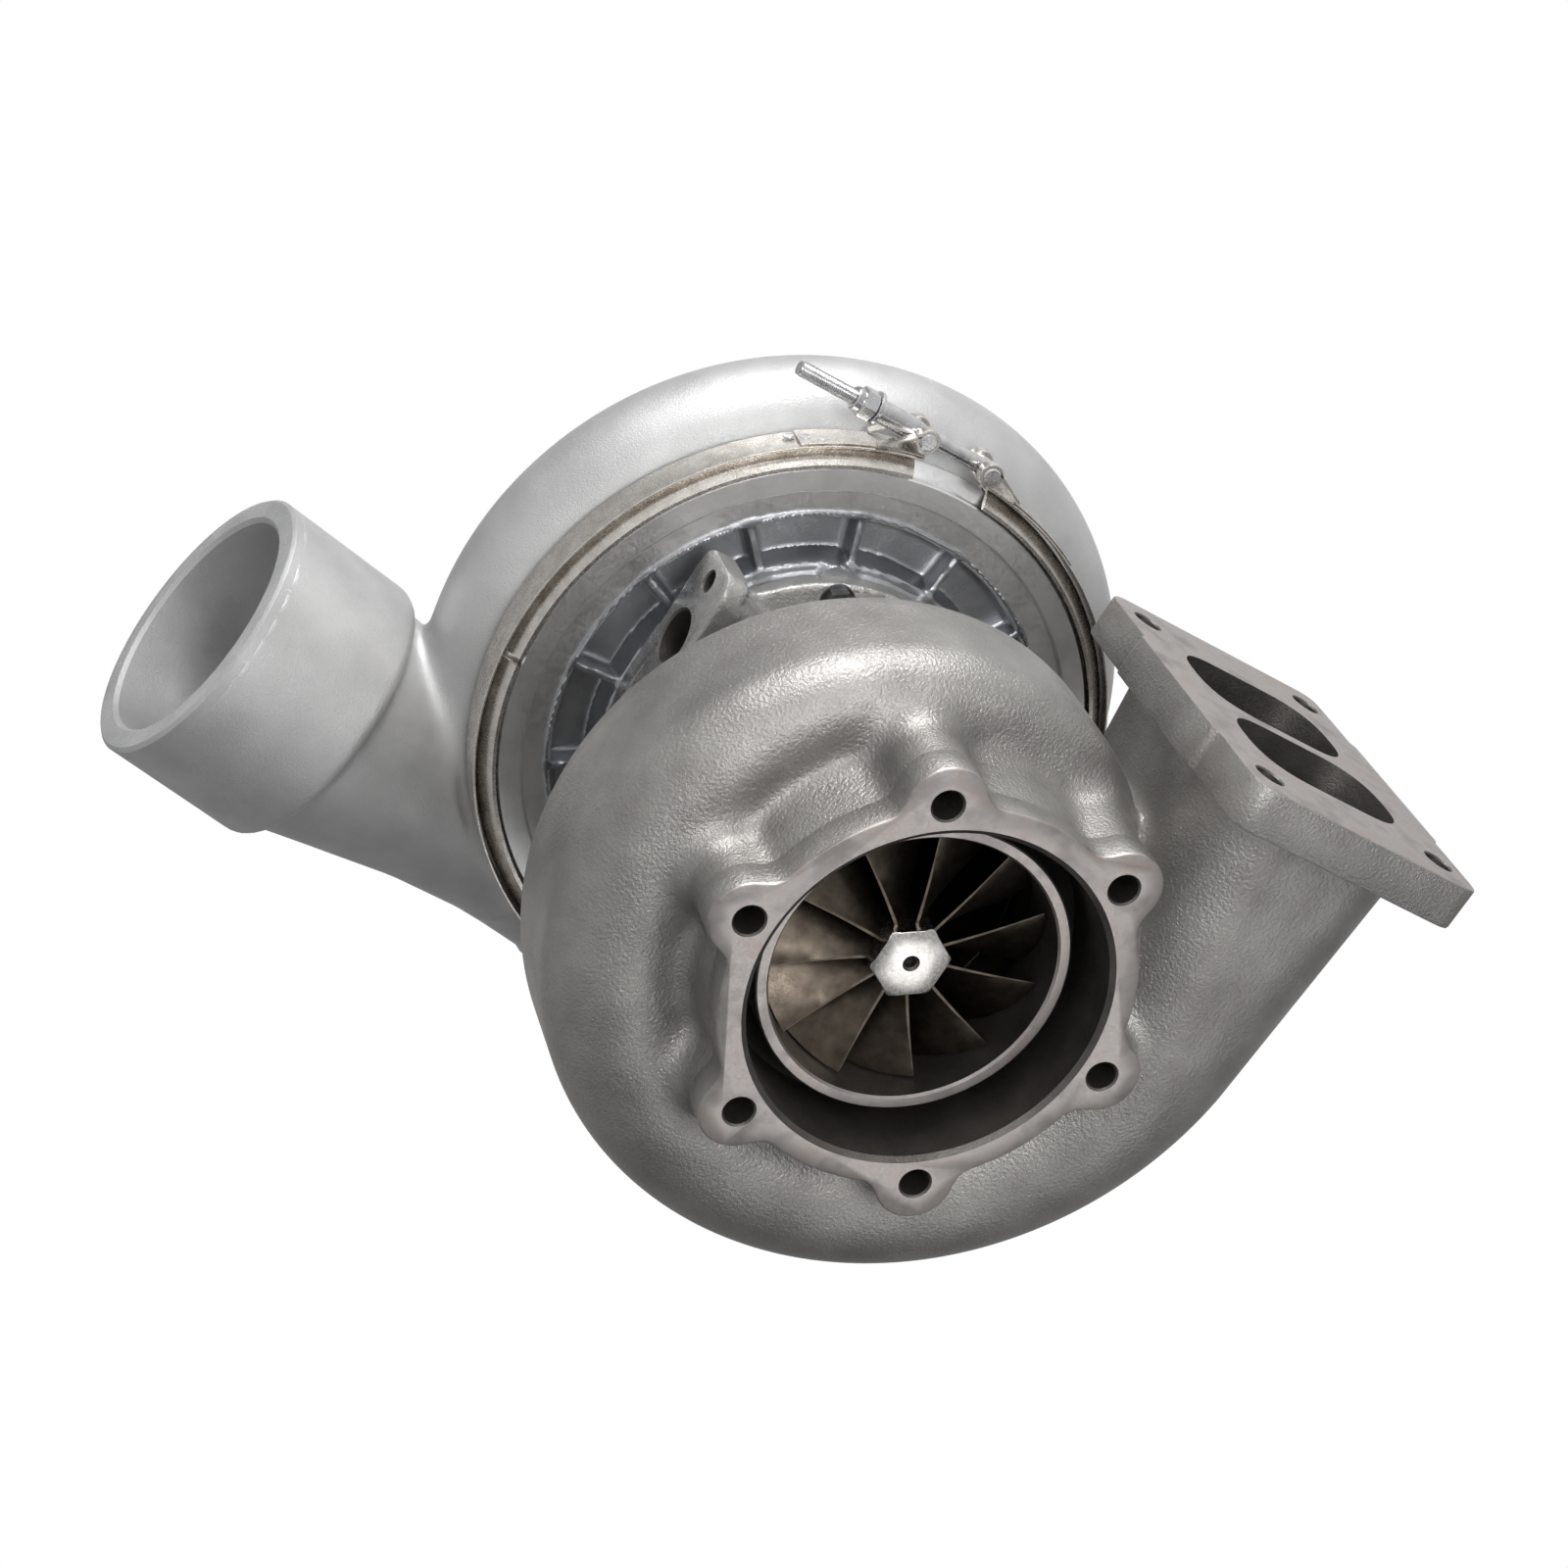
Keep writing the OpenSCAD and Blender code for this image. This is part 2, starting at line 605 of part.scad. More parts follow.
module compressor_housing() color([0.82, 0.82, 0.83]) {
    spout = outlet_point(collar_start, outlet_offset);
    difference() {
        union() {
            compressor_casting();
            turned([[pilot_r - 3, joint_y + 0.05], [flange_r, joint_y + 0.05], [flange_r, 195.8],
                [118.9, 197.8], [118.9, 206.2], [pilot_r - 3, 206.2]]);
            turned([[60, 276], [73.5, 280], [73.5, eye_face_y - 9], [eye_spigot_r, eye_face_y - 7],
                [eye_spigot_r, eye_face_y - 2], [eye_spigot_r - 2, eye_face_y], [60, eye_face_y]]);
            translate([spout[0], outlet_y, spout[1]]) rotate([0, 90 - outlet_az, 0])
                cylinder(r = spigot_r, h = outlet_end - collar_start, $fn = 96);
        }
        translate([spout[0], outlet_y, spout[1]]) rotate([0, 90 - outlet_az, 0])
            translate([0, 0, -2]) cylinder(r = spigot_bore_r, h = 90, $fn = 96);
        // Pilot bore, diffuser and room for the clamp
        turned([[0, joint_y - 1], [pilot_r + 0.08, joint_y - 1], [pilot_r + 0.08, diffuser_y0],
            [pilot_r - 1, diffuser_y0], [pilot_r - 1, diffuser_y1], [0, diffuser_y1]]);
        turned([[flange_r + 0.6, joint_y - 20], [131, joint_y - 20], [131, 203.3], [flange_r + 0.6, 203.3]]);
        // Wheel shroud and inlet bore
        turned(concat([[0, 200], [impeller_tip_r + 1.5, 200]],
            [for (k = [5 : -1 : 0]) [shroud_points[k][0] + shroud_gap, shroud_points[k][1] + shroud_gap]],
            [[impeller_eye_r + shroud_gap, 262], [56, 284], [67, 312], [69, eye_face_y + 1],
                [0, eye_face_y + 1]]));
    }
}

// ---- V-band clamp ----

// Part of a turned profile from angle a0 for a sweep in degrees
module turned_arc(points, a0, sweep) {
    rotate([0, -a0 - sweep, 0]) rotate([-90, 0, 0]) rotate_extrude(angle = sweep, $fn = 120) polygon(points);
}

strap_points = [[strap_r - 1, joint_y - 8], [strap_r, joint_y - 8], [strap_r, joint_y + 8],
    [strap_r - 1, joint_y + 8]];
segment_points = [
    [119.8, joint_y - 9], [121.2, joint_y - 9], [126.3, joint_y - 3.4], [126.3, joint_y + 3.4],
    [121.2, joint_y + 9], [119.8, joint_y + 9], [119.8, joint_y + 7.4], [125.3, joint_y + 2.2],
    [125.3, joint_y - 2.2], [119.8, joint_y - 7.4]
];

module clamp_strap() color([0.70, 0.67, 0.63]) {
    turned_arc(strap_points, gap_angle + gap_half, 360 - 2 * gap_half);
    // Doubled ends that carry the two loops
    turned_arc([[strap_r, joint_y - 7], [strap_r + 1.1, joint_y - 7], [strap_r + 1.1, joint_y + 7],
        [strap_r, joint_y + 7]], gap_angle + gap_half, 22);
    turned_arc([[strap_r, joint_y - 7], [strap_r + 1.1, joint_y - 7], [strap_r + 1.1, joint_y + 7],
        [strap_r, joint_y + 7]], gap_angle - gap_half - 24, 17);
    for (z = [head_z, saddle_z], side = [-1, 1]) clamp_loop(z, side);
}

// Loop of strap round one end of a trunnion pin
module clamp_loop(z, side) {
    lead = z == head_z ? 1 : -1;
    difference() {
        union() {
            translate([tbolt_x, joint_y + side * 7 - 2.2, z]) rotate([-90, 0, 0])
                cylinder(r = 4.9, h = 4.4, $fn = 40);
            translate([-strap_r - 1.2, joint_y + side * 7 - 2.2, min(z, z + lead * 16)]) cube([4.2, 4.4, 16]);
        }
        translate([tbolt_x, joint_y - 12, z]) rotate([-90, 0, 0]) cylinder(r = 3.55, h = 24, $fn = 40);
        along(joint_y - 12) cylinder(r = strap_r - 0.5, h = 24, $fn = 120);
    }
}

module clamp_segments() color([0.66, 0.64, 0.61]) {
    free = 360 - 2 * gap_half - 2;
    for (i = [0 : segments - 1]) {
        turned_arc(segment_points, gap_angle + gap_half + 1 + i * free / segments, free / segments - 1.4);
    }
}

module clamp_pin(z) {
    difference() {
        translate([tbolt_x, joint_y - 10, z]) rotate([-90, 0, 0]) cylinder(r = 3.5, h = 20, $fn = 40);
        translate([tbolt_x, joint_y, z - 6]) cylinder(r = tbolt_r + 0.05, h = 12, $fn = 32);
    }
}

module clamp_head_pin() color([0.72, 0.72, 0.73]) {
    clamp_pin(head_z);
}

module clamp_saddle_pin() color([0.72, 0.72, 0.73]) {
    clamp_pin(saddle_z);
}

module clamp_t_bolt() color([0.75, 0.75, 0.76]) {
    translate([tbolt_x, joint_y, nut_z - 34]) cylinder(r = tbolt_r, h = head_z + 5 - nut_z + 34, $fn = 40);
}

module clamp_sleeve() color([0.70, 0.70, 0.72]) {
    translate([tbolt_x, joint_y, nut_z + 1.8]) difference() {
        cylinder(r = 4.6, h = saddle_z - 3.52 - nut_z - 1.8, $fn = 40);
        translate([0, 0, -1]) cylinder(r = tbolt_r + 0.1, h = 30, $fn = 40);
    }
}

module clamp_washer() color([0.72, 0.72, 0.74]) {
    translate([tbolt_x, joint_y, nut_z + 0.2]) difference() {
        cylinder(r = 6.8, h = 1.5, $fn = 48);
        translate([0, 0, -1]) cylinder(r = tbolt_r + 0.08, h = 4, $fn = 40);
    }
}

module clamp_nut() color([0.70, 0.70, 0.72]) {
    translate([tbolt_x, joint_y, nut_z - 9]) difference() {
        union() {
            translate([0, 0, 3]) cylinder(r = nut_flats / sqrt(3), h = 6, $fn = 6);
            cylinder(r = 4.8, h = 3.5, $fn = 40);
        }
        translate([0, 0, -1]) cylinder(r = tbolt_r + 0.05, h = 12, $fn = 40);
    }
}

turbine_housing();
turbine_wheel();
rotor_shaft();
turbine_seal_ring();
heat_shield();
centre_housing();
turbine_housing_bolts();
journal_bearing_turbine();
journal_bearing_compressor();
bearing_retaining_rings();
thrust_bearing();
thrust_collar();
oil_flinger();
compressor_seal_ring();
seal_plate();
seal_plate_ring();
compressor_backplate();
backplate_bolts();
backplate_oring();
compressor_housing();
compressor_wheel();
compressor_nut();
clamp_strap();
clamp_segments();
clamp_head_pin();
clamp_saddle_pin();
clamp_t_bolt();
clamp_sleeve();
clamp_washer();
clamp_nut();
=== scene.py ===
import math

import bmesh
import bpy
import numpy as np
from mathutils import Matrix, Vector


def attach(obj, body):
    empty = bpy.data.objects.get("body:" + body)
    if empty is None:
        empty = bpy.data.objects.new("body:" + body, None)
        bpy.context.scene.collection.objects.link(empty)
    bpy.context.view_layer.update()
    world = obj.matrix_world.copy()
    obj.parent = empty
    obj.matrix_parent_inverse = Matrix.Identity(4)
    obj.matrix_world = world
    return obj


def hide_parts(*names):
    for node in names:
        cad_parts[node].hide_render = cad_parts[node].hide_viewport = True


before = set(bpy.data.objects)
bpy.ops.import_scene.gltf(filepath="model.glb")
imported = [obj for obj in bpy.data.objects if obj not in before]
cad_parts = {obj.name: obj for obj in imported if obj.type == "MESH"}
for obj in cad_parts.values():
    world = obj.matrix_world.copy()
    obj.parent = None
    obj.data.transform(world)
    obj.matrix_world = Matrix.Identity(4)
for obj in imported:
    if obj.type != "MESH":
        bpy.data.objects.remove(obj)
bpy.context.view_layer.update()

MM = 0.001
SHARP = math.radians(32)


# ---------------------------------------------------------------- materials

def shader(name, metallic, colour, roughness):
    """A new material with its Principled shader and object coordinates."""
    mat = bpy.data.materials.new(name)
    mat.use_nodes = True
    tree = mat.node_tree
    bsdf = tree.nodes["Principled BSDF"]
    bsdf.inputs["Metallic"].default_value = metallic
    bsdf.inputs["Base Color"].default_value = (*colour, 1)
    bsdf.inputs["Roughness"].default_value = roughness
    coords = tree.nodes.new("ShaderNodeTexCoord").outputs["Object"]
    return mat, tree, bsdf, coords


def noise(tree, coords, size_mm, detail=3.0):
    node = tree.nodes.new("ShaderNodeTexNoise")
    node.inputs["Scale"].default_value = 1000 / size_mm
    node.inputs["Detail"].default_value = detail
    tree.links.new(coords, node.inputs["Vector"])
    return node.outputs["Fac"]


def ramp(tree, fac, stops):
    """Colours along fac; stops are (position, colour)."""
    node = tree.nodes.new("ShaderNodeValToRGB")
    while len(node.color_ramp.elements) < len(stops):
        node.color_ramp.elements.new(0.5)
    for element, (place, colour) in zip(node.color_ramp.elements, stops):
        element.position = place
        element.color = (*colour, 1)
    tree.links.new(fac, node.inputs["Fac"])
    return node.outputs["Color"]


def spread(tree, fac, low, high):
    node = tree.nodes.new("ShaderNodeMapRange")
    node.inputs["From Min"].default_value = 0.3
    node.inputs["From Max"].default_value = 0.7
    node.inputs["To Min"].default_value = low
    node.inputs["To Max"].default_value = high
    tree.links.new(fac, node.inputs["Value"])
    return node.outputs["Result"]


def bump(tree, bsdf, layers):
    """Stacks bumps; layers are (height socket, depth in mm, strength)."""
    normal = None
    for height, depth_mm, strength in layers:
        node = tree.nodes.new("ShaderNodeBump")
        node.inputs["Distance"].default_value = depth_mm * MM
        node.inputs["Strength"].default_value = strength
        tree.links.new(height, node.inputs["Height"])
        if normal:
            tree.links.new(normal, node.inputs["Normal"])
        normal = node.outputs["Normal"]
    tree.links.new(normal, bsdf.inputs["Normal"])


def cast_metal(name, dark, light, rough, grain_mm, depth_mm, metallic=0.85):
    """Sand or die cast skin: pebbled grain, mottled colour, uneven gloss."""
    mat, tree, bsdf, coords = shader(name, metallic, light, rough)
    mottle = noise(tree, coords, 22, 4)
    grain = noise(tree, coords, grain_mm, 2)
    fine = noise(tree, coords, grain_mm * 0.35, 2)
    colour = ramp(tree, mottle, [(0.32, dark), (0.68, light)])
    tree.links.new(colour, bsdf.inputs["Base Color"])
    tree.links.new(spread(tree, grain, rough - 0.07, rough + 0.08), bsdf.inputs["Roughness"])
    bump(tree, bsdf, [(mottle, depth_mm * 2, 0.2), (grain, depth_mm * 1.6, 0.9), (fine, depth_mm * 0.8, 0.8)])
    return mat


def machined_metal(name, dark, light, rough, pitch_mm=0.5, tint=None):
    """Turned face: fine rings round the shaft, faint streaks and stains."""
    mat, tree, bsdf, coords = shader(name, 1.0, light, rough)
    wave = tree.nodes.new("ShaderNodeTexWave")
    wave.wave_type = "RINGS"
    wave.rings_direction = "Y"
    wave.inputs["Scale"].default_value = 50 / pitch_mm
    wave.inputs["Distortion"].default_value = 0.4
    tree.links.new(coords, wave.inputs["Vector"])
    stain = noise(tree, coords, 14, 5)
    stops = [(0.3, dark), (0.6, light)] if tint is None else [(0.3, dark), (0.5, light), (0.72, tint)]
    tree.links.new(ramp(tree, stain, stops), bsdf.inputs["Base Color"])
    fine = noise(tree, coords, 1.2, 3)
    tree.links.new(spread(tree, fine, rough - 0.06, rough + 0.08), bsdf.inputs["Roughness"])
    bump(tree, bsdf, [(wave.outputs["Fac"], 0.01, 0.2), (fine, 0.01, 0.15)])
    return mat


def plain_metal(name, dark, light, rough, metallic=1.0):
    """Small steel parts: slight streaks and handling marks."""
    mat, tree, bsdf, coords = shader(name, metallic, light, rough)
    blot = noise(tree, coords, 6, 4)
    fine = noise(tree, coords, 0.7, 3)
    tree.links.new(ramp(tree, blot, [(0.3, dark), (0.7, light)]), bsdf.inputs["Base Color"])
    tree.links.new(spread(tree, fine, rough - 0.06, rough + 0.08), bsdf.inputs["Roughness"])
    bump(tree, bsdf, [(fine, 0.03, 0.3)])
    return mat


TURBINE_CAST = cast_metal("turbine_cast", (0.27, 0.26, 0.25), (0.36, 0.35, 0.335), 0.40, 1.2, 0.26)
TURBINE_FACE = machined_metal("turbine_face", (0.30, 0.275, 0.265), (0.44, 0.41, 0.395), 0.40, 0.6,
                              (0.42, 0.355, 0.33))
# Near-black skin for the walls of bores, ports and drilled holes: painted shade in these recesses.
BORE_PAINTED_SHADE = cast_metal("bore_painted_shade", (0.08, 0.075, 0.07), (0.15, 0.14, 0.13), 0.45, 1.0, 0.1)
CENTRE_CAST = cast_metal("centre_cast", (0.33, 0.32, 0.31), (0.48, 0.47, 0.45), 0.42, 1.1, 0.18)
CENTRE_FACE = machined_metal("centre_face", (0.52, 0.51, 0.50), (0.70, 0.69, 0.67), 0.30)
COMPRESSOR_CAST = cast_metal("compressor_cast", (0.47, 0.47, 0.47), (0.55, 0.55, 0.55), 0.54, 0.7, 0.10,
                             0.8)
COMPRESSOR_FACE = machined_metal("compressor_face", (0.70, 0.71, 0.72), (0.86, 0.86, 0.87), 0.24)
BACKPLATE_CAST = cast_metal("backplate_cast", (0.30, 0.31, 0.33), (0.46, 0.47, 0.49), 0.38, 0.8, 0.06, 1.0)
BACKPLATE_FACE = machined_metal("backplate_face", (0.80, 0.80, 0.80), (0.94, 0.94, 0.94), 0.34, 0.35)
WHEEL_ALLOY = plain_metal("wheel_alloy", (0.075, 0.06, 0.048), (0.15, 0.125, 0.10), 0.36)
HEX_FACE = machined_metal("hex_face", (0.60, 0.58, 0.55), (0.82, 0.80, 0.77), 0.24, 0.4)
WHEEL_ALUMINIUM = machined_metal("wheel_aluminium", (0.68, 0.69, 0.70), (0.84, 0.84, 0.85), 0.24, 0.7)
CLAMP_STEEL = plain_metal("clamp_steel", (0.55, 0.51, 0.47), (0.74, 0.71, 0.67), 0.28)
BRIGHT_STEEL = plain_metal("bright_steel", (0.52, 0.52, 0.53), (0.76, 0.76, 0.77), 0.24)
DARK_STEEL = plain_metal("dark_steel", (0.14, 0.14, 0.14), (0.30, 0.30, 0.31), 0.35)
HEAT_TINT = plain_metal("heat_tint", (0.30, 0.24, 0.19), (0.48, 0.42, 0.36), 0.34)
BRONZE = plain_metal("bronze", (0.45, 0.30, 0.13), (0.72, 0.52, 0.28), 0.30)
RUBBER = plain_metal("rubber", (0.012, 0.012, 0.012), (0.03, 0.03, 0.03), 0.55, 0.0)


# ---------------------------------------------------------------- mesh tools

def finish_piece(mesh_object, body, replaced, sharp=SHARP):
    """Smooths the piece with crisp edges, ties it to its body and hides the CAD nodes it replaces."""
    mesh = mesh_object.data
    mesh.validate()
    mesh.polygons.foreach_set("use_smooth", [True] * len(mesh.polygons))
    mesh.set_sharp_from_angle(angle=sharp)
    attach(mesh_object, body)
    if replaced:
        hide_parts(*replaced)
    return mesh_object


def mesh_object(name, verts_mm, faces, *mats):
    mesh = bpy.data.meshes.new(name)
    mesh.from_pydata([tuple(v) for v in np.asarray(verts_mm) * MM], [], [tuple(f) for f in faces])
    for mat in mats:
        mesh.materials.append(mat)
    thing = bpy.data.objects.new(name, mesh)
    bpy.context.scene.collection.objects.link(thing)
    return thing


def grid_object(name, verts_mm, quads, *mats):
    """A large mesh of quads from numpy arrays."""
    mesh = bpy.data.meshes.new(name)
    mesh.vertices.add(len(verts_mm))
    mesh.vertices.foreach_set("co", (verts_mm * MM).astype(np.float32).ravel())
    mesh.loops.add(len(quads) * 4)
    mesh.loops.foreach_set("vertex_index", quads.astype(np.int32).ravel())
    mesh.polygons.add(len(quads))
    mesh.polygons.foreach_set("loop_start", np.arange(0, len(quads) * 4, 4, dtype=np.int32))
    mesh.update(calc_edges=True)
    for mat in mats:
        mesh.materials.append(mat)
    thing = bpy.data.objects.new(name, mesh)
    bpy.context.scene.collection.objects.link(thing)
    return thing


def lathe(name, profile, mat, segments=160, place=None):
    """Closed [radius, station] outline turned round the Y axis; a radius of 0 lies on the axis."""
    verts, faces, rows = [], [], []
    for radius, station in profile:
        if radius < 1e-6:
            rows.append([len(verts)] * segments)
            verts.append((0, station, 0))
        else:
            rows.append(list(range(len(verts), len(verts) + segments)))
            for i in range(segments):
                turn = 2 * math.pi * i / segments
                verts.append((radius * math.cos(turn), station, radius * math.sin(turn)))
    for a, b in zip(rows, rows[1:] + rows[:1]):
        for i in range(segments):
            k = (i + 1) % segments
            face = [a[i], b[i], b[k], a[k]]
            face = [v for n, v in enumerate(face) if v != face[n - 1]]
            if len(face) > 2:
                faces.append(face)
    thing = mesh_object(name, verts, faces, mat)
    outward(thing)
    if place is not None:
        thing.data.transform(place)
    return thing


def outward(thing):
    """Makes the mesh's normals point out of it."""
    bm = bmesh.new()
    bm.from_mesh(thing.data)
    bmesh.ops.recalc_face_normals(bm, faces=bm.faces)
    bm.to_mesh(thing.data)
    bm.free()


def prism(name, outline, thickness, edge, mat, place):
    """Plate from a closed outline of (x, z) in mm, with its rims eased by edge; it grows along local Y."""
    points = np.array(outline, float)
    ahead, behind = np.roll(points, -1, 0), np.roll(points, 1, 0)
    tangent = ahead - behind
    tangent /= np.linalg.norm(tangent, axis=1)[:, None]
    area = 0.5 * np.sum(points[:, 0] * ahead[:, 1] - ahead[:, 0] * points[:, 1])
    normal = np.column_stack([tangent[:, 1], -tangent[:, 0]]) * (1 if area > 0 else -1)
    rows = [(-edge, 0), (-edge * 0.3, edge * 0.3), (0, edge), (0, thickness - edge),
            (-edge * 0.3, thickness - edge * 0.3), (-edge, thickness)]
    verts, faces, n = [], [], len(points)
    for inset, height in rows:
        ring = points + normal * inset
        verts += [(x, height, z) for x, z in ring]
    for row in range(len(rows) - 1):
        for i in range(n):
            k = (i + 1) % n
            faces.append([row * n + i, row * n + k, (row + 1) * n + k, (row + 1) * n + i])
    faces.append(list(range(n)))
    faces.append(list(range(len(verts) - 1, len(verts) - n - 1, -1)))
    thing = mesh_object(name, verts, faces, mat)
    outward(thing)
    thing.data.transform(place)
    return thing


def along(point_mm, direction):
    """Matrix that puts local Y along direction, starting at the point."""
    y = Vector(direction).normalized()
    helper = Vector((0, 0, 1)) if abs(y.z) < 0.9 else Vector((1, 0, 0))
    x = y.cross(helper).normalized()
    z = x.cross(y)
    basis = Matrix((x, y, z)).transposed().to_4x4()
    return Matrix.Translation(Vector(point_mm) * MM) @ basis


def combine(target, others, operation):
    """Boolean with the other objects, which are then removed."""
    for other in others:
        mod = target.modifiers.new("cut", "BOOLEAN")
        mod.operation = operation
        mod.solver = "MANIFOLD"
        mod.object = other
        mod.material_mode = "TRANSFER"
    bpy.context.view_layer.update()
    evaluated = target.evaluated_get(bpy.context.evaluated_depsgraph_get())
    mesh = bpy.data.meshes.new_from_object(evaluated)
    target.modifiers.clear()
    old = target.data
    target.data = mesh
    bpy.data.meshes.remove(old)
    for other in others:
        bpy.data.objects.remove(other)
    return target


def join(target, others):
    """Adds the others' meshes to the target as loose shells, with their materials."""
    bm = bmesh.new()
    bm.from_mesh(target.data)
    for other in others:
        start = len(bm.faces)
        slots = []
        for mat in other.data.materials:
            if mat.name not in [m.name for m in target.data.materials]:
                target.data.materials.append(mat)
            slots.append([m.name for m in target.data.materials].index(mat.name))
        bm.from_mesh(other.data)
        bm.faces.ensure_lookup_table()
        for face in bm.faces[start:]:
            face.material_index = slots[face.material_index] if slots else 0
        bpy.data.objects.remove(other)
    bm.to_mesh(target.data)
    bm.free()
    return target


def paint(thing, slot_index, test):
    """Gives slot_index to the faces whose centre in mm and normal pass the test (arrays)."""
    mesh = thing.data
    count = len(mesh.polygons)
    centre, normal = np.empty(count * 3), np.empty(count * 3)
    mesh.polygons.foreach_get("center", centre)
    mesh.polygons.foreach_get("normal", normal)
    slots = np.empty(count, np.int32)
    mesh.polygons.foreach_get("material_index", slots)
    slots[test(centre.reshape(-1, 3) / MM, normal.reshape(-1, 3))] = slot_index
    mesh.polygons.foreach_set("material_index", slots)


# ---------------------------------------------------------------- smooth castings from distance fields

CUBE_EDGES = [(a, b) for a in range(8) for b in range(8) if a < b and bin(a ^ b).count("1") == 1]


def corner(code):
    return code & 1, code >> 1 & 1, code >> 2 & 1


def untangle(field):
    """Fills samples that alternate like a chequerboard, so that no edge is shared by four quads."""
    for _ in range(6):
        for u, v in ((0, 1), (1, 2), (0, 2)):
            corners = []
            for du, dv in ((0, 0), (0, 1), (1, 0), (1, 1)):
                cut = [slice(None)] * 3
                cut[u] = slice(1, None) if du else slice(None, -1)
                cut[v] = slice(1, None) if dv else slice(None, -1)
                corners.append(field[tuple(cut)])
            signs = [c < 0 for c in corners]
            tangled = (signs[0] == signs[3]) & (signs[1] == signs[2]) & (signs[0] != signs[1])
            for values in corners:
                values[tangled & (values >= 0)] = -0.05


def surface(field, low, step):
    """Quads on the zero level of a field sampled on a grid: one vertex in each crossed cell."""
    untangle(field)
    inside = field < 0
    total = np.zeros([n - 1 for n in field.shape], np.int8)
    for code in range(8):
        i, j, k = corner(code)
        total += inside[i:field.shape[0] - 1 + i, j:field.shape[1] - 1 + j, k:field.shape[2] - 1 + k]
    cells = np.argwhere((total > 0) & (total < 8))
    index = np.full(total.shape, -1, np.int32)
    index[tuple(cells.T)] = np.arange(len(cells))
    place, crossed = np.zeros((len(cells), 3)), np.zeros(len(cells))
    for a, b in CUBE_EDGES:
        ca, cb = np.array(corner(a)), np.array(corner(b))
        fa, fb = field[tuple((cells + ca).T)], field[tuple((cells + cb).T)]
        hit = (fa < 0) != (fb < 0)
        share = np.where(hit, fa / np.where(hit, fa - fb, 1), 0)
        place += np.where(hit[:, None], ca + share[:, None] * (cb - ca), 0)
        crossed += hit
    verts = np.array(low) + (cells + place / crossed[:, None]) * step
    quads = []
    for axis in range(3):
        u, v = (axis + 1) % 3, (axis + 2) % 3
        near = [slice(None)] * 3
        near[u] = near[v] = slice(1, -1)
        first, second = list(near), list(near)
        first[axis], second[axis] = slice(None, -1), slice(1, None)
        a, b = inside[tuple(first)], inside[tuple(second)]
        spots = np.argwhere(a != b)
        spots[:, u] += 1
        spots[:, v] += 1
        loops = []
        for du, dv in ((0, 0), (-1, 0), (-1, -1), (0, -1)):
            cell = spots.copy()
            cell[:, u] += du
            cell[:, v] += dv
            loops.append(index[tuple(cell.T)])
        loops = np.stack(loops, 1)
        low_inside = a[a != b]
        loops[~low_inside] = loops[~low_inside][:, ::-1]
        quads.append(loops)
    return verts, np.concatenate(quads)


def casting(name, field, low, high, step, *mats):
    """Mesh of a distance field given as a function of x, y and z in mm."""
    axes = [np.arange(a, b + step, step, dtype=np.float32) for a, b in zip(low, high)]
    x, y, z = np.meshgrid(*axes, indexing="ij", sparse=True)
    values = np.array(np.broadcast_to(field(x, y, z), [len(a) for a in axes]))
    verts, quads = surface(values, low, step)
    return grid_object(name, verts, quads, *mats)


def blend(a, b, reach):
    """Smooth union of two fields."""
    k = np.clip(0.5 + 0.5 * (b - a) / reach, 0, 1)
    return b * (1 - k) + a * k - reach * k * (1 - k)


def rounded(du, dv, half_u, half_v, radius):
    """Rounded rectangle in two offsets."""
    qu, qv = np.abs(du) - (half_u - radius), np.abs(dv) - (half_v - radius)
    return np.hypot(np.maximum(qu, 0), np.maximum(qv, 0)) + np.minimum(np.maximum(qu, qv), 0) - radius


def mix(a, b, k):
    return a + (b - a) * k


# ---------------------------------------------------------------- turbine housing

VOLUTE_Y = 72.4
INLET_X, INLET_Z = -122.7, 106.5
OUTLET_R = 76.2
LOBES = [math.radians(30 + 60 * i) for i in range(6)]


def volute_sizes(x, z):
    """Radius, centre radius, section radius, half flat and distance past the tail."""
    r = np.hypot(x, z)
    angle = np.degrees(np.arctan2(z, x))
    angle = np.where(angle > 90, angle - 360, angle)
    past = np.maximum(-228 - angle, 0) * r * math.pi / 180
    s = (90 - np.maximum(angle, -228)) / 360
    return r, 111.6 - 31.85 * s, 41.3 - 32.9 * s, 19.5 - 5.8 * s, past


def duct_sizes(x):
    return np.clip((x - INLET_X - 3) / 119.7, 0, 1)


def turbine_outside(x, y, z):
    """Volute, inlet duct and the neck that follows the outlet flange's lobes."""
    r, centre, rho, half, past = volute_sizes(x, z)
    scroll = np.hypot(r - centre, np.maximum(np.abs(y - VOLUTE_Y) - half, 0)) - rho
    scroll = np.hypot(np.maximum(scroll, 0), past) + np.minimum(scroll, 0)
    k = duct_sizes(x)
    duct = rounded(z - mix(INLET_Z, 111.6, k), y - VOLUTE_Y, mix(46.5, 41.3, k), mix(58, 60.8, k),
                   mix(26, 41.3, k))
    duct = np.maximum(np.maximum(duct, INLET_X + 4 - x), x - 1)
    body = blend(scroll, duct, np.clip(-x / 6, 0.01, 6))
    neck = r - np.interp(y, [0, 15, 60, 104, 118], [74.5, 74.5, 84, 86, 80]).astype(np.float32)
    for lobe in LOBES:
        reach = np.interp(y, [0, 14, 60], [13.8, 13.8, 17.5]).astype(np.float32)
        boss = np.hypot(x - OUTLET_R * math.cos(lobe), z - OUTLET_R * math.sin(lobe)) - reach
        neck = blend(neck, boss + np.maximum(y - 44, 0) * 0.8, 8)
    neck = np.maximum(np.maximum(neck, 6 - y), y - 116)
    return blend(body, neck, 11)


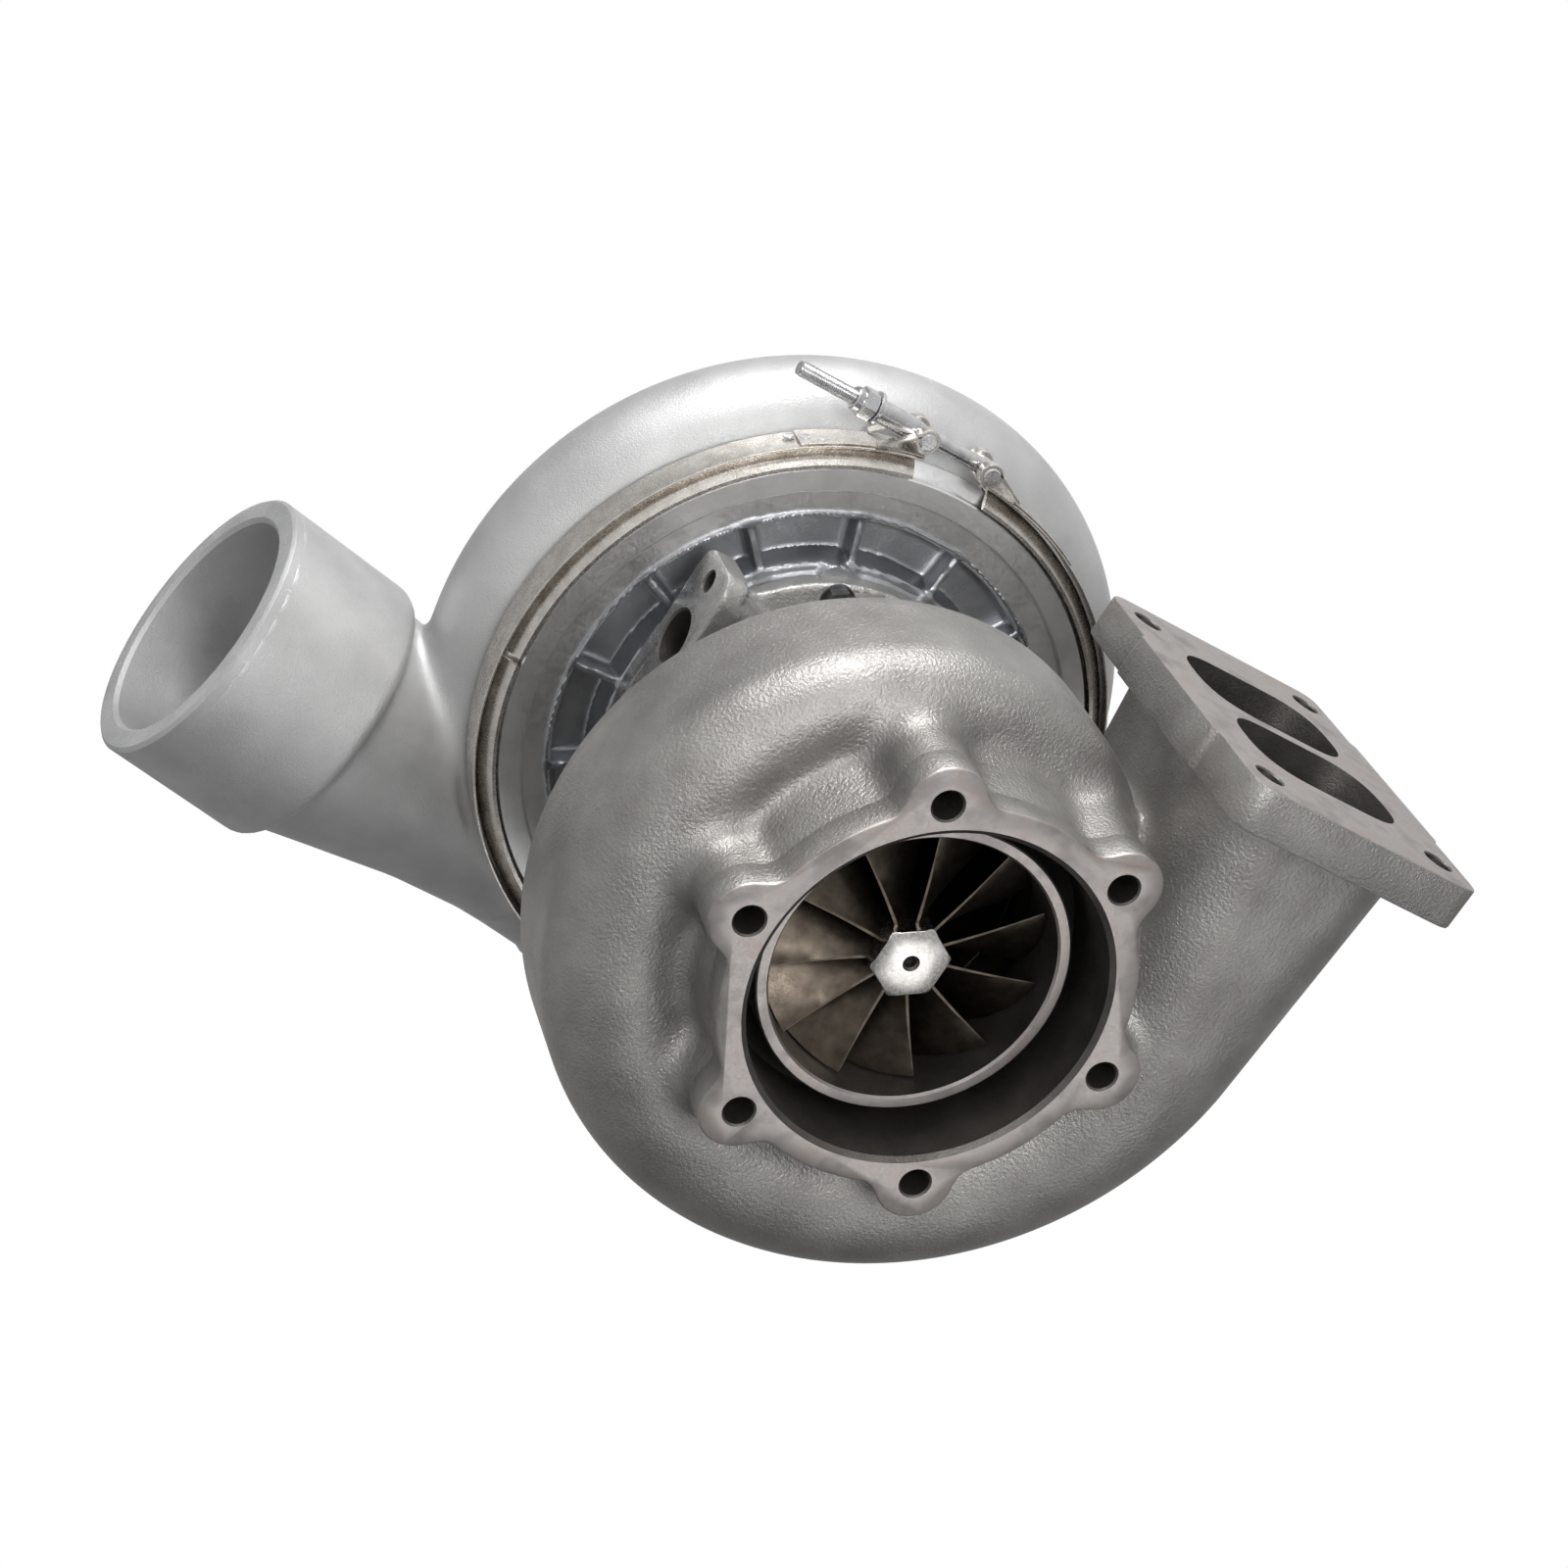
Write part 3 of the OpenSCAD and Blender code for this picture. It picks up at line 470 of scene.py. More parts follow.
def gas_passage(x, y, z, side):
    """One of the two passages of the divided volute, with its port."""
    r, centre, rho, half, past = volute_sizes(x, z)
    wide = (half + rho - 10) / 2
    deep = rho - 7.5
    tube = rounded(r - centre, y - VOLUTE_Y - side * (2.5 + wide), deep, wide, 0.9 * np.minimum(deep, wide))
    k = np.clip((x - INLET_X) / 122.7, 0, 1)
    port_wide, port_deep = mix(22.4, 25.4, k), mix(34, 33.8, k)
    port = rounded(z - mix(INLET_Z, 111.6, k), y - VOLUTE_Y - side * (mix(3, 2.5, k) + port_wide), port_deep,
                   port_wide, mix(17, 22.8, k))
    port = np.maximum(port, x - 1)
    return np.minimum(np.maximum(tube + past, -x), port)


def turbine_field(x, y, z):
    out = turbine_outside(x, y, z)
    for side in (-1, 1):
        out = np.maximum(out, -gas_passage(x, y, z, side))
    return out


def lobed_outline():
    """Outlet flange outline: a round rim with a lobe at each bolt, blended by fillets."""
    rim, lobe_r, fillet = 75.5, 14.5, 7
    points = []
    for i in range(240):
        turn = 2 * math.pi * i / 240
        low, high = 60.0, 100.0
        for _ in range(22):
            reach = (low + high) / 2
            value = reach - rim
            for lobe in LOBES:
                other = math.hypot(reach * math.cos(turn) - OUTLET_R * math.cos(lobe),
                                   reach * math.sin(turn) - OUTLET_R * math.sin(lobe)) - lobe_r
                value = blend(value, other, fillet)
            if value > 0:
                high = reach
            else:
                low = reach
        points.append((low * math.cos(turn), low * math.sin(turn)))
    return points


def round_corners(corners, radius, steps=6):
    """Outline through the corners, each rounded by a quarter-like arc."""
    points = []
    n = len(corners)
    for i, here in enumerate(corners):
        here = np.array(here, float)
        before, after = np.array(corners[i - 1], float), np.array(corners[(i + 1) % n], float)
        a, b = before - here, after - here
        reach_a, reach_b = np.linalg.norm(a), np.linalg.norm(b)
        cut = min(radius, 0.45 * reach_a, 0.45 * reach_b)
        start, end = here + a / reach_a * cut, here + b / reach_b * cut
        for k in np.linspace(0, 1, steps):
            points.append(tuple(start * (1 - k) ** 2 + here * 2 * k * (1 - k) + end * k ** 2))
    return points


def hole_cutter(name, point, direction, radius, depth, chamfer, mat):
    """Drill with a countersunk mouth that starts at the face."""
    profile = [(0, -2), (radius + chamfer + 2, -2), (radius, chamfer), (radius, depth),
               (0, depth + radius * 0.5)]
    return lathe(name, profile, mat, 48, along(point, direction))


def flange_edge(centres, normals):
    """Faces on the cast rim of the outlet flange, clear of its bolt holes."""
    x, y, z = centres.T
    from_bolt = np.min([np.hypot(x - OUTLET_R * math.cos(a), z - OUTLET_R * math.sin(a)) for a in LOBES],
                       axis=0)
    on_rim = (y > 1.2) & (y < 15) & (np.hypot(x, z) > 70) & (x > INLET_X + 25)
    return on_rim & (np.abs(normals[:, 1]) < 0.9) & (from_bolt > 7)


def inlet_outline():
    """Inlet flange outline in (y, z) about its centre: rounded ends and a middle that stands 2 mm proud."""
    half_y, half_z, mid_y = 78.4, 52, 39
    corners = [(-half_y, -half_z), (-mid_y, -half_z), (-mid_y + 2, -half_z - 2), (mid_y - 2, -half_z - 2),
               (mid_y, -half_z), (half_y, -half_z), (half_y, half_z), (mid_y, half_z),
               (mid_y - 2, half_z + 2), (-mid_y + 2, half_z + 2), (-mid_y, half_z), (-half_y, half_z)]
    outline = []
    for i, here in enumerate(corners):
        around = [corners[i - 1], here, corners[(i + 1) % len(corners)]]
        radius = 9 if abs(here[0]) == half_y else 1.2
        outline += round_corners(around, radius)[6:12]
    return outline


def inlet_place(ahead, across):
    """Turns a plate to lie on the inlet flange, ahead of its face and across from its centre."""
    swap = Matrix(((0, 1, 0, 0), (1, 0, 0, 0), (0, 0, 1, 0), (0, 0, 0, 1)))
    return Matrix.Translation(Vector((INLET_X - ahead, VOLUTE_Y + across, INLET_Z)) * MM) @ swap


def build_turbine_housing():
    step = 1.6
    body = casting("turbine_housing_casting", turbine_field, (-124, -2, -128), (142, 140, 160), step,
                   TURBINE_CAST)
    flange = prism("outlet_flange", lobed_outline(), 14, 0.9, TURBINE_FACE, Matrix())
    inlet = prism("inlet_flange", inlet_outline(), 17, 0.8, TURBINE_CAST, inlet_place(0, 0))
    outward(inlet)
    combine(body, [flange, inlet], "UNION")
    shroud_lip = [(65, 40), (57.5, 46), (57.2, 20.6), (56.6, 20), (53.3, 20), (52.5, 20.9), (51.6, 32),
                  (51.6, 46)]
    wheel_side = [(53.4, 55), (56.6, 60), (56.6, 81.2), (56, 81.5), (56, 96.5), (58, 96.5), (58, 98),
                  (66.1, 98), (66.1, 103), (70, 103), (70, 130), (0, 130)]
    mouth = [(0, -5), (67, -5), (67, 0), (65, 1.6)]
    # Bore, bolt hole and port cutters pass their near-black painted shade onto the cut walls.
    cuts = [lathe("bore", mouth + shroud_lip + wheel_side, BORE_PAINTED_SHADE, 192)]
    for i, lobe in enumerate(LOBES):
        spot = (OUTLET_R * math.cos(lobe), 0, OUTLET_R * math.sin(lobe))
        cuts.append(hole_cutter(f"outlet_hole_{i}", spot, (0, 1, 0), 5.5, 24, 0.7, BORE_PAINTED_SHADE))
    for y in (-62, 62):
        for z in (-40, 40):
            spot = (INLET_X, VOLUTE_Y + y, INLET_Z + z)
            cuts.append(hole_cutter(f"inlet_hole_{y}_{z}", spot, (1, 0, 0), 5.5, 22, 0.6, BORE_PAINTED_SHADE))
    for side in (-1, 1):
        outline = round_corners([(-22.4, -33.5), (22.4, -33.5), (22.4, 33.5), (-22.4, 33.5)], 22, 10)
        cuts.append(prism(f"port_{side}", outline, 22, 0.01, BORE_PAINTED_SHADE, inlet_place(2, side * 25.75)))
        outward(cuts[-1])
    combine(body, cuts, "DIFFERENCE")
    names = [m.name for m in body.data.materials]
    face_slot = names.index(TURBINE_FACE.name)
    paint(body, names.index(TURBINE_CAST.name), flange_edge)
    paint(body, face_slot, lambda c, n: (c[:, 0] < INLET_X + 0.3) & (n[:, 0] < -0.9))
    paint(body, face_slot, lambda c, n: (c[:, 1] > 19) & (c[:, 1] < 24)
          & (np.hypot(c[:, 0], c[:, 2]) < 57.4))
    return finish_piece(body, "casing", ["turbine_housing"])


# ---------------------------------------------------------------- compressor housing

OUT_AZ = math.radians(258.6)
OUT_DIR = (math.cos(OUT_AZ), 0, math.sin(OUT_AZ))
OUT_SIDE = (-math.sin(OUT_AZ), 0, math.cos(OUT_AZ))
SPIGOT_R, SPIGOT_Y, SPIGOT_SIDE = 58, 240, 117
SCROLL_START, SCROLL_END = 335, -13
CONE_AT = [0, 26, 40, 69, 102, 134, 139]
CONE_R = [38, 38, 38.5, 41.6, 47, 52, 53]


def outlet_coordinates(x, y, z):
    """Distance along the outlet, and offset from its centre line."""
    ahead = x * OUT_DIR[0] + z * OUT_DIR[2]
    side = x * OUT_SIDE[0] + z * OUT_SIDE[2]
    centre = np.interp(ahead, [0, 139], [111, SPIGOT_SIDE])
    level = np.interp(ahead, [0, 35, 75, 110, 139], [242.5, 245, 245.5, 243, SPIGOT_Y])
    return ahead, np.hypot(side - centre, y - level)


def scroll_field(x, y, z, wall):
    """Compressor scroll and outlet cone, inset by wall."""
    r = np.hypot(x, z)
    angle = np.degrees(np.arctan2(z, x))
    angle = np.where(angle < SCROLL_END, angle + 360, angle)
    past = np.maximum(angle - SCROLL_START, 0) * r * math.pi / 180
    u = (SCROLL_START - np.minimum(angle, SCROLL_START)) / (SCROLL_START - SCROLL_END)
    rho = 20 + 18 * u
    tube = np.hypot(r - (124.8 - 15.5 * u), y - 204.5 - rho) - rho + wall
    tube = np.hypot(np.maximum(tube, 0), past) + np.minimum(tube, 0)
    ahead, off = outlet_coordinates(x, y, z)
    cone = off - np.interp(ahead, CONE_AT, CONE_R) + wall
    cone = np.maximum(np.maximum(cone, -1 - ahead), ahead - 141)
    return blend(tube, cone, 9 if wall == 0 else 3)


def compressor_field(x, y, z):
    """Scroll, hub and outlet collar, hollowed, and cleared for the clamp."""
    r = np.hypot(x, z)
    body = scroll_field(x, y, z, 0)
    hub_r = np.interp(y, [204, 206, 214, 226, 236, 250, 262, 272, 281, 330],
                      [118.9, 119, 122, 111, 90, 85, 83, 79, 73.5, 73.5]).astype(np.float32)
    hub = np.maximum(np.maximum(r - hub_r, 203.6 - y), y - 290)
    body = blend(body, hub, 9)
    ahead = x * OUT_DIR[0] + z * OUT_DIR[2]
    side = np.hypot(x * OUT_SIDE[0] + z * OUT_SIDE[2] - SPIGOT_SIDE, y - SPIGOT_Y)
    shoulder = 4.5
    collar = np.hypot(np.maximum(side - SPIGOT_R + shoulder, 0), np.maximum(141.5 - ahead, 0)) - shoulder
    collar = np.maximum(np.maximum(collar, side - SPIGOT_R), ahead - 197)
    body = blend(body, collar, 1.5)
    body = np.maximum(body, -scroll_field(x, y, z, 6))
    relief = np.maximum(r - 133, y - 203.4)
    body = np.maximum(body, -np.where(r > 60, relief, 50))
    return body


def build_compressor_housing():
    step = 1.7
    body = casting("compressor_housing_casting", compressor_field, (-150, 180, -236), (178, 304, 152), step,
                   COMPRESSOR_CAST)
    outlet_axis = along((OUT_SIDE[0] * SPIGOT_SIDE, SPIGOT_Y, OUT_SIDE[2] * SPIGOT_SIDE), OUT_DIR)
    tip_outline = [(46, 190), (58, 190), (58, 193.4), (57.4, 194), (57.4, 194.8), (58, 195.4), (58, 198.6),
                   (56.8, 199.8), (56.4, 200), (46, 200)]
    spigot_outline = [(60, 270), (71, 276), (73.5, 281), (73.5, 321), (74.4, 322.2), (76.2, 323.4),
                      (76.2, 327.4), (75.2, 329.4), (73.8, 330), (60, 330)]
    flange_outline = [(110, 194.05), (124.6, 194.05), (125, 194.4), (125, 195.4), (124.4, 196),
                      (118.9, 197.9), (118.9, 207), (110, 207)]
    tip = lathe("outlet_tip", tip_outline, COMPRESSOR_CAST, 160, outlet_axis)
    spigot = lathe("inlet_spigot", spigot_outline, COMPRESSOR_CAST, 160)
    flange = lathe("joint_flange", flange_outline, COMPRESSOR_FACE, 192)
    combine(body, [tip, spigot, flange], "UNION")
    bore_outline = [(0, 133), (46.2, 133), (47.5, 137), (47.5, 198.4), (49.2, 200.1), (50.5, 203), (0, 203)]
    pilot = [(0, 180), (113.08, 180), (113.08, 203.5), (112, 203.5), (112, 209.5)]
    shroud = [(66.5, 209.5), (60.2, 212.4), (54.5, 217.5), (50, 226), (47.6, 236), (46.7, 252), (46.7, 262),
              (50, 272), (56, 284), (63, 300), (67.5, 318), (69.5, 331), (0, 331)]
    bore = lathe("outlet_bore", bore_outline, COMPRESSOR_CAST, 160, outlet_axis)
    inside = lathe("shroud_cut", pilot + shroud, COMPRESSOR_FACE, 192)
    throat = lathe("diffuser_mouth", [(104, 203.5), (114, 203.5), (114, 214), (104, 214)], COMPRESSOR_CAST,
                   160)
    combine(body, [bore, inside, throat], "DIFFERENCE")
    names = [m.name for m in body.data.materials]
    paint(body, names.index(COMPRESSOR_FACE.name),
          lambda c, n: (n @ np.array(OUT_DIR) > 0.9) & (c @ np.array(OUT_DIR) > 199.5))
    return finish_piece(body, "casing", ["compressor_housing"])


# ---------------------------------------------------------------- centre housing

def box_field(x, y, z, centre, half, radius):
    qx, qy, qz = [np.abs(v - c) - (h - radius) for v, c, h in zip((x, y, z), centre, half)]
    outside = np.sqrt(np.maximum(qx, 0) ** 2 + np.maximum(qy, 0) ** 2 + np.maximum(qz, 0) ** 2)
    return outside + np.minimum(np.maximum(np.maximum(qx, qy), qz), 0) - radius


def centre_field(x, y, z):
    """Barrel with its two flanges, the drain leg and pad, and the feed pad."""
    r = np.hypot(x, z)
    waist = np.interp(y, [84, 92, 97, 98, 108, 109, 118, 162, 172, 177, 186],
                      [24, 28, 50, 66, 66, 50, 40, 40, 50, 76, 76]).astype(np.float32)
    body = np.maximum(np.maximum(r - waist, 84.5 - y), y - 186)
    k = np.clip((z + 80) / 50, 0, 1)
    wide, deep = mix(34, 24, k), mix(18, 15, k)
    leg = rounded(x - mix(-26, -14, k), y - mix(168, 162, k), wide, deep, 9)
    leg = np.maximum(np.maximum(leg, -80 - z), z + 10)
    pad = rounded(x + 26, y - 168.5, 34, 17.2, 8)
    pad = np.maximum(np.maximum(pad, -80 - z), z + 70)
    feed = box_field(x, y, z, (0, 142, 36), (33, 16, 16), 5)
    body = blend(body, leg, 9)
    body = np.minimum(body, pad)
    body = blend(body, feed, 6)
    return np.maximum(body, y - 186)


def build_centre_housing():
    step = 1.3
    body = casting("centre_housing_casting", centre_field, (-82, 82, -84), (82, 190, 80), step,
                   CENTRE_CAST)
    cavity = [(0, 80), (13.55, 80), (13.55, 98), (12.56, 98), (12.56, 159), (29, 161), (29, 168), (31, 168),
              (31, 192), (0, 192)]
    upward, downward = (0, 0, 1), (0, 0, -1)
    drain_x, drain_y, drain_z = -26, 167.5, -80
    feed_y, feed_z = 142, 52
    # Drain and feed bores and their bolt holes take the near-black painted shade on their walls.
    cuts = [lathe("cavity", cavity, CENTRE_FACE, 96),
            hole_cutter("drain_bore", (drain_x, drain_y, drain_z), upward, 11, 40, 0.8, BORE_PAINTED_SHADE)]
    for side in (-25, 25):
        spot = (drain_x + side, drain_y, drain_z)
        cuts.append(hole_cutter(f"drain_hole_{side}", spot, upward, 4.2, 16, 0.6, BORE_PAINTED_SHADE))
    cuts.append(hole_cutter("feed_bore", (0, feed_y, feed_z), downward, 7, 12, 0.6, BORE_PAINTED_SHADE))
    for side in (-19, 19):
        spot = (side, feed_y, feed_z)
        cuts.append(hole_cutter(f"feed_hole_{side}", spot, downward, 3.4, 14, 0.5, BORE_PAINTED_SHADE))
    combine(body, cuts, "DIFFERENCE")
    body.data.materials.append(CENTRE_FACE)
    slot = len(body.data.materials) - 1
    paint(body, slot, lambda c, n: (n[:, 2] < -0.97) & (c[:, 2] < -79))
    paint(body, slot, lambda c, n: (n[:, 2] > 0.97) & (c[:, 2] > 51.5))
    return finish_piece(body, "casing", ["centre_housing"], math.radians(40))


# ---------------------------------------------------------------- compressor backplate

RIBS = [math.radians(197.7 + 360 * i / 14) for i in range(14)]


def backplate_field(x, y, z):
    """Recessed plate with its ridge, ribs and two bosses."""
    r = np.hypot(x, z)
    front = np.interp(r, [56, 58.5, 59, 76, 77, 80, 81.5, 83, 96, 98.5, 99, 112],
                      [189.5, 189, 186.2, 186.2, 187, 187.2, 192, 197.5, 198.4, 196, 188, 188])
    front = front.astype(np.float32)
    plate = np.maximum(np.maximum(front - y, y - 201.2), np.maximum(r - 100.5, 34 - r))
    for turn in RIBS:
        ahead = x * math.cos(turn) + z * math.sin(turn)
        side = -x * math.sin(turn) + z * math.cos(turn)
        top = np.interp(ahead, [78, 88, 100], [187.6, 188.4, 189.6]).astype(np.float32)
        rib = np.maximum(np.maximum(np.abs(side) - 1.5 - (y - top) * 0.06, top - y), y - 200)
        rib = np.maximum(rib, np.maximum(77 - ahead, ahead - 100))
        plate = blend(plate, rib, 2.6)
    for turn in (math.radians(201.7), math.radians(321)):
        boss = np.hypot(x - 73 * math.cos(turn), z - 73 * math.sin(turn)) - 7
        boss = np.maximum(np.maximum(boss, 184.9 - y), y - 195)
        plate = blend(plate, np.where(r > 66, boss, 20), 3)
    return plate


def build_backplate():
    step = 1.0
    body = casting("compressor_backplate_casting", backplate_field, (-104, 182, -104), (104, 204, 104), step,
                   BACKPLATE_CAST)
    front_steps = [(97.6, 191.2), (98.2, 190.2), (109.0, 190.0), (109.4, 189.4), (109.6, 187.4),
                   (110.2, 187.0), (118.4, 187.0), (119.0, 187.4), (119.3, 190.3), (124.5, 192.2)]
    rim_and_groove = [(125, 192.6), (125, 193.9), (113, 193.95), (113, 197.4), (110.6, 197.4),
                      (110.6, 200.6), (113, 200.6)]
    back = [(113, 203.5), (68, 203.5), (67.5, 200.8), (60, 200.6), (60, 199.6), (97.6, 199.6)]
    join(body, [lathe("backplate_ring", front_steps + rim_and_groove + back, BACKPLATE_FACE, 256)])
    return finish_piece(body, "casing", ["compressor_backplate"], math.radians(28))


# ---------------------------------------------------------------- wheels and shaft

def curve(a, b, c, k):
    return [p * (1 - k) ** 2 + q * 2 * k * (1 - k) + s * k ** 2 for p, q, s in zip(a, b, c)]


def blade_mesh(root, tip, turn_at, start, thick_root, thick_tip, rows=26, columns=9):
    """Curved blade between root and tip lines in [radius, station]; turn_at gives its wrap."""
    verts, faces = [], []
    for face_side in (1, -1):
        for i in range(rows):
            k = i / (rows - 1)
            a, b = root(k), tip(k)
            for j in range(columns):
                m = j / (columns - 1)
                radius, station = a[0] + (b[0] - a[0]) * m, a[1] + (b[1] - a[1]) * m
                thick = (thick_root + (thick_tip - thick_root) * m) / 2
                edge = min(1.0, 0.35 + 3.2 * min(k, 1 - k))
                turn = start + turn_at(k, radius, station) + face_side * thick * edge / radius
                verts.append((radius * math.cos(turn), station, radius * math.sin(turn)))
    half = rows * columns
    for i in range(rows - 1):
        for j in range(columns - 1):
            a = i * columns + j
            faces.append([a, a + 1, a + columns + 1, a + columns])
            faces.append([half + a, half + a + columns, half + a + columns + 1, half + a + 1])
    rim = [j for j in range(columns)] + [i * columns + columns - 1 for i in range(1, rows)]
    rim += [(rows - 1) * columns + j for j in range(columns - 2, -1, -1)]
    rim += [i * columns for i in range(rows - 2, 0, -1)]
    for a, b in zip(rim, rim[1:] + rim[:1]):
        faces.append([a, half + a, half + b, b])
    return verts, faces


def add_blades(target, blades, mat):
    verts, faces = [], []
    for blade_verts, blade_faces in blades:
        faces += [[len(verts) + v for v in face] for face in blade_faces]
        verts += blade_verts
    piece = mesh_object("blades", verts, faces, mat)
    outward(piece)
    return join(target, [piece])


def build_turbine_wheel():
    gas_side = [(0, 33), (12.5, 33), (13.6, 36), (15, 42), (18, 54), (26, 66), (38, 74), (53.4, 77.6),
                (54, 78.4), (54, 79.2)]
    back = [(53.6, 79.6), (17, 79.6), (13, 80.8), (13, 87), (11.3, 87), (11.3, 89), (13, 89), (13, 95),
            (0, 95)]
    hub = lathe("turbine_wheel_cast", gas_side + back, WHEEL_ALLOY, 128)
    wrap = math.radians(38)

    def root(k):
        return curve((54.6, 79.0), (14, 77.6), (12.6, 30.5), k)

    def tip(k):
        return curve((56, 61), (50.6, 58), (51, 29.5), k)

    def turn_at(k, radius, station):
        lag = max(0.0, 56 - station) / 27
        return wrap * lag * lag

    blades = [blade_mesh(root, tip, turn_at, 2 * math.pi * i / 11, 3.4, 1.5) for i in range(11)]
    add_blades(hub, blades, WHEEL_ALLOY)
    hexagon = [(15 * math.cos(math.radians(60 * i)), 15 * math.sin(math.radians(60 * i))) for i in range(6)]
    nut = prism("hub_hexagon", round_corners(hexagon, 1.0, 3), 9, 0.5, HEX_FACE,
                Matrix.Translation((0, 24.9 * MM, 0)))
    crown_outline = [(0, 20), (13.2, 20), (13.2, 24.9), (15.6, 26.1), (15.6, 36), (0, 36)]
    crown = lathe("hex_crown", crown_outline, HEX_FACE, 64)
    combine(nut, [crown], "INTERSECT")
    # The centre drill's wall is painted near-black, as painted shade.
    drill = lathe("centre_drill", [(0, 20), (3.2, 20), (3.2, 24.9), (2.2, 25.8), (2.2, 28.5), (0.9, 30.5),
                                   (0.9, 32), (0, 32)], BORE_PAINTED_SHADE, 32)
    combine(nut, [drill], "DIFFERENCE")
    join(hub, [nut])
    return finish_piece(hub, "rotor", ["turbine_wheel"])


def build_compressor_wheel():
    air_side = [(5.52, 257), (10.4, 257), (11.2, 256.4), (13.8, 252), (15.5, 238), (20, 224), (30, 213),
                (46, 206.5), (65.8, 203.8), (66.5, 203.4)]
    back = [(66.5, 201.6), (65.8, 201.3), (40, 200.8), (20, 199.8), (5.52, 199.8)]
    hub = lathe("compressor_wheel_milled", air_side + back, WHEEL_ALUMINIUM, 128)

    def root_from(first):
        return lambda k: curve((13.4, 253), (14, 205), (65.6, 203.2), first + (1 - first) * k)

    def tip_from(first):
        return lambda k: curve((46, 251.6), (47, 211), (66.5, 209), first + (1 - first) * k)

    def turn_from(first):
        def turn_at(k, radius, station):
            share = first + (1 - first) * k
            return math.radians(58 * share - 22 * share ** 3 + 10 * (1 - share) ** 3)
        return turn_at

    blades = []
    for i in range(7):
        turn = 2 * math.pi * i / 7
        for first, start in ((0, turn), (0.35, turn + math.pi / 7)):
            blades.append(blade_mesh(root_from(first), tip_from(first), turn_from(first), start, 2.4, 1.0))
    add_blades(hub, blades, WHEEL_ALUMINIUM)
    return finish_piece(hub, "rotor", ["compressor_wheel"])


# ---------------------------------------------------------------- V-band clamp

JOINT_Y = 194
GAP = math.radians(184.5)
STRAP_GAP = math.radians(6)
BOLT_X = -132.8
HEAD_Z, SADDLE_Z, NUT_Z = 3.7, -26.7, -50


def arc_sweep(name, section, start, sweep, mat, steps=180):
    """Closed [radius, station] section swept round the shaft over part of a turn."""
    verts, faces, n = [], [], len(section)
    for i in range(steps + 1):
        turn = start + sweep * i / steps
        verts += [(r * math.cos(turn), y, r * math.sin(turn)) for r, y in section]
    for i in range(steps):
        for j in range(n):
            k = (j + 1) % n
            faces.append([i * n + j, i * n + k, (i + 1) * n + k, (i + 1) * n + j])
    faces.append(list(range(n)))
    faces.append(list(range(len(verts) - 1, len(verts) - n - 1, -1)))
    piece = mesh_object(name, verts, faces, mat)
    outward(piece)
    return piece


def strip(radius, half_width, thick, edge=0.35):
    """Section of a strap with eased edges."""
    top = radius + thick
    return [(radius, -half_width + edge + JOINT_Y), (radius + edge, -half_width + JOINT_Y),
            (top - edge, -half_width + JOINT_Y), (top, -half_width + edge + JOINT_Y),
            (top, half_width - edge + JOINT_Y), (top - edge, half_width + JOINT_Y),
            (radius + edge, half_width + JOINT_Y), (radius, half_width - edge + JOINT_Y)]


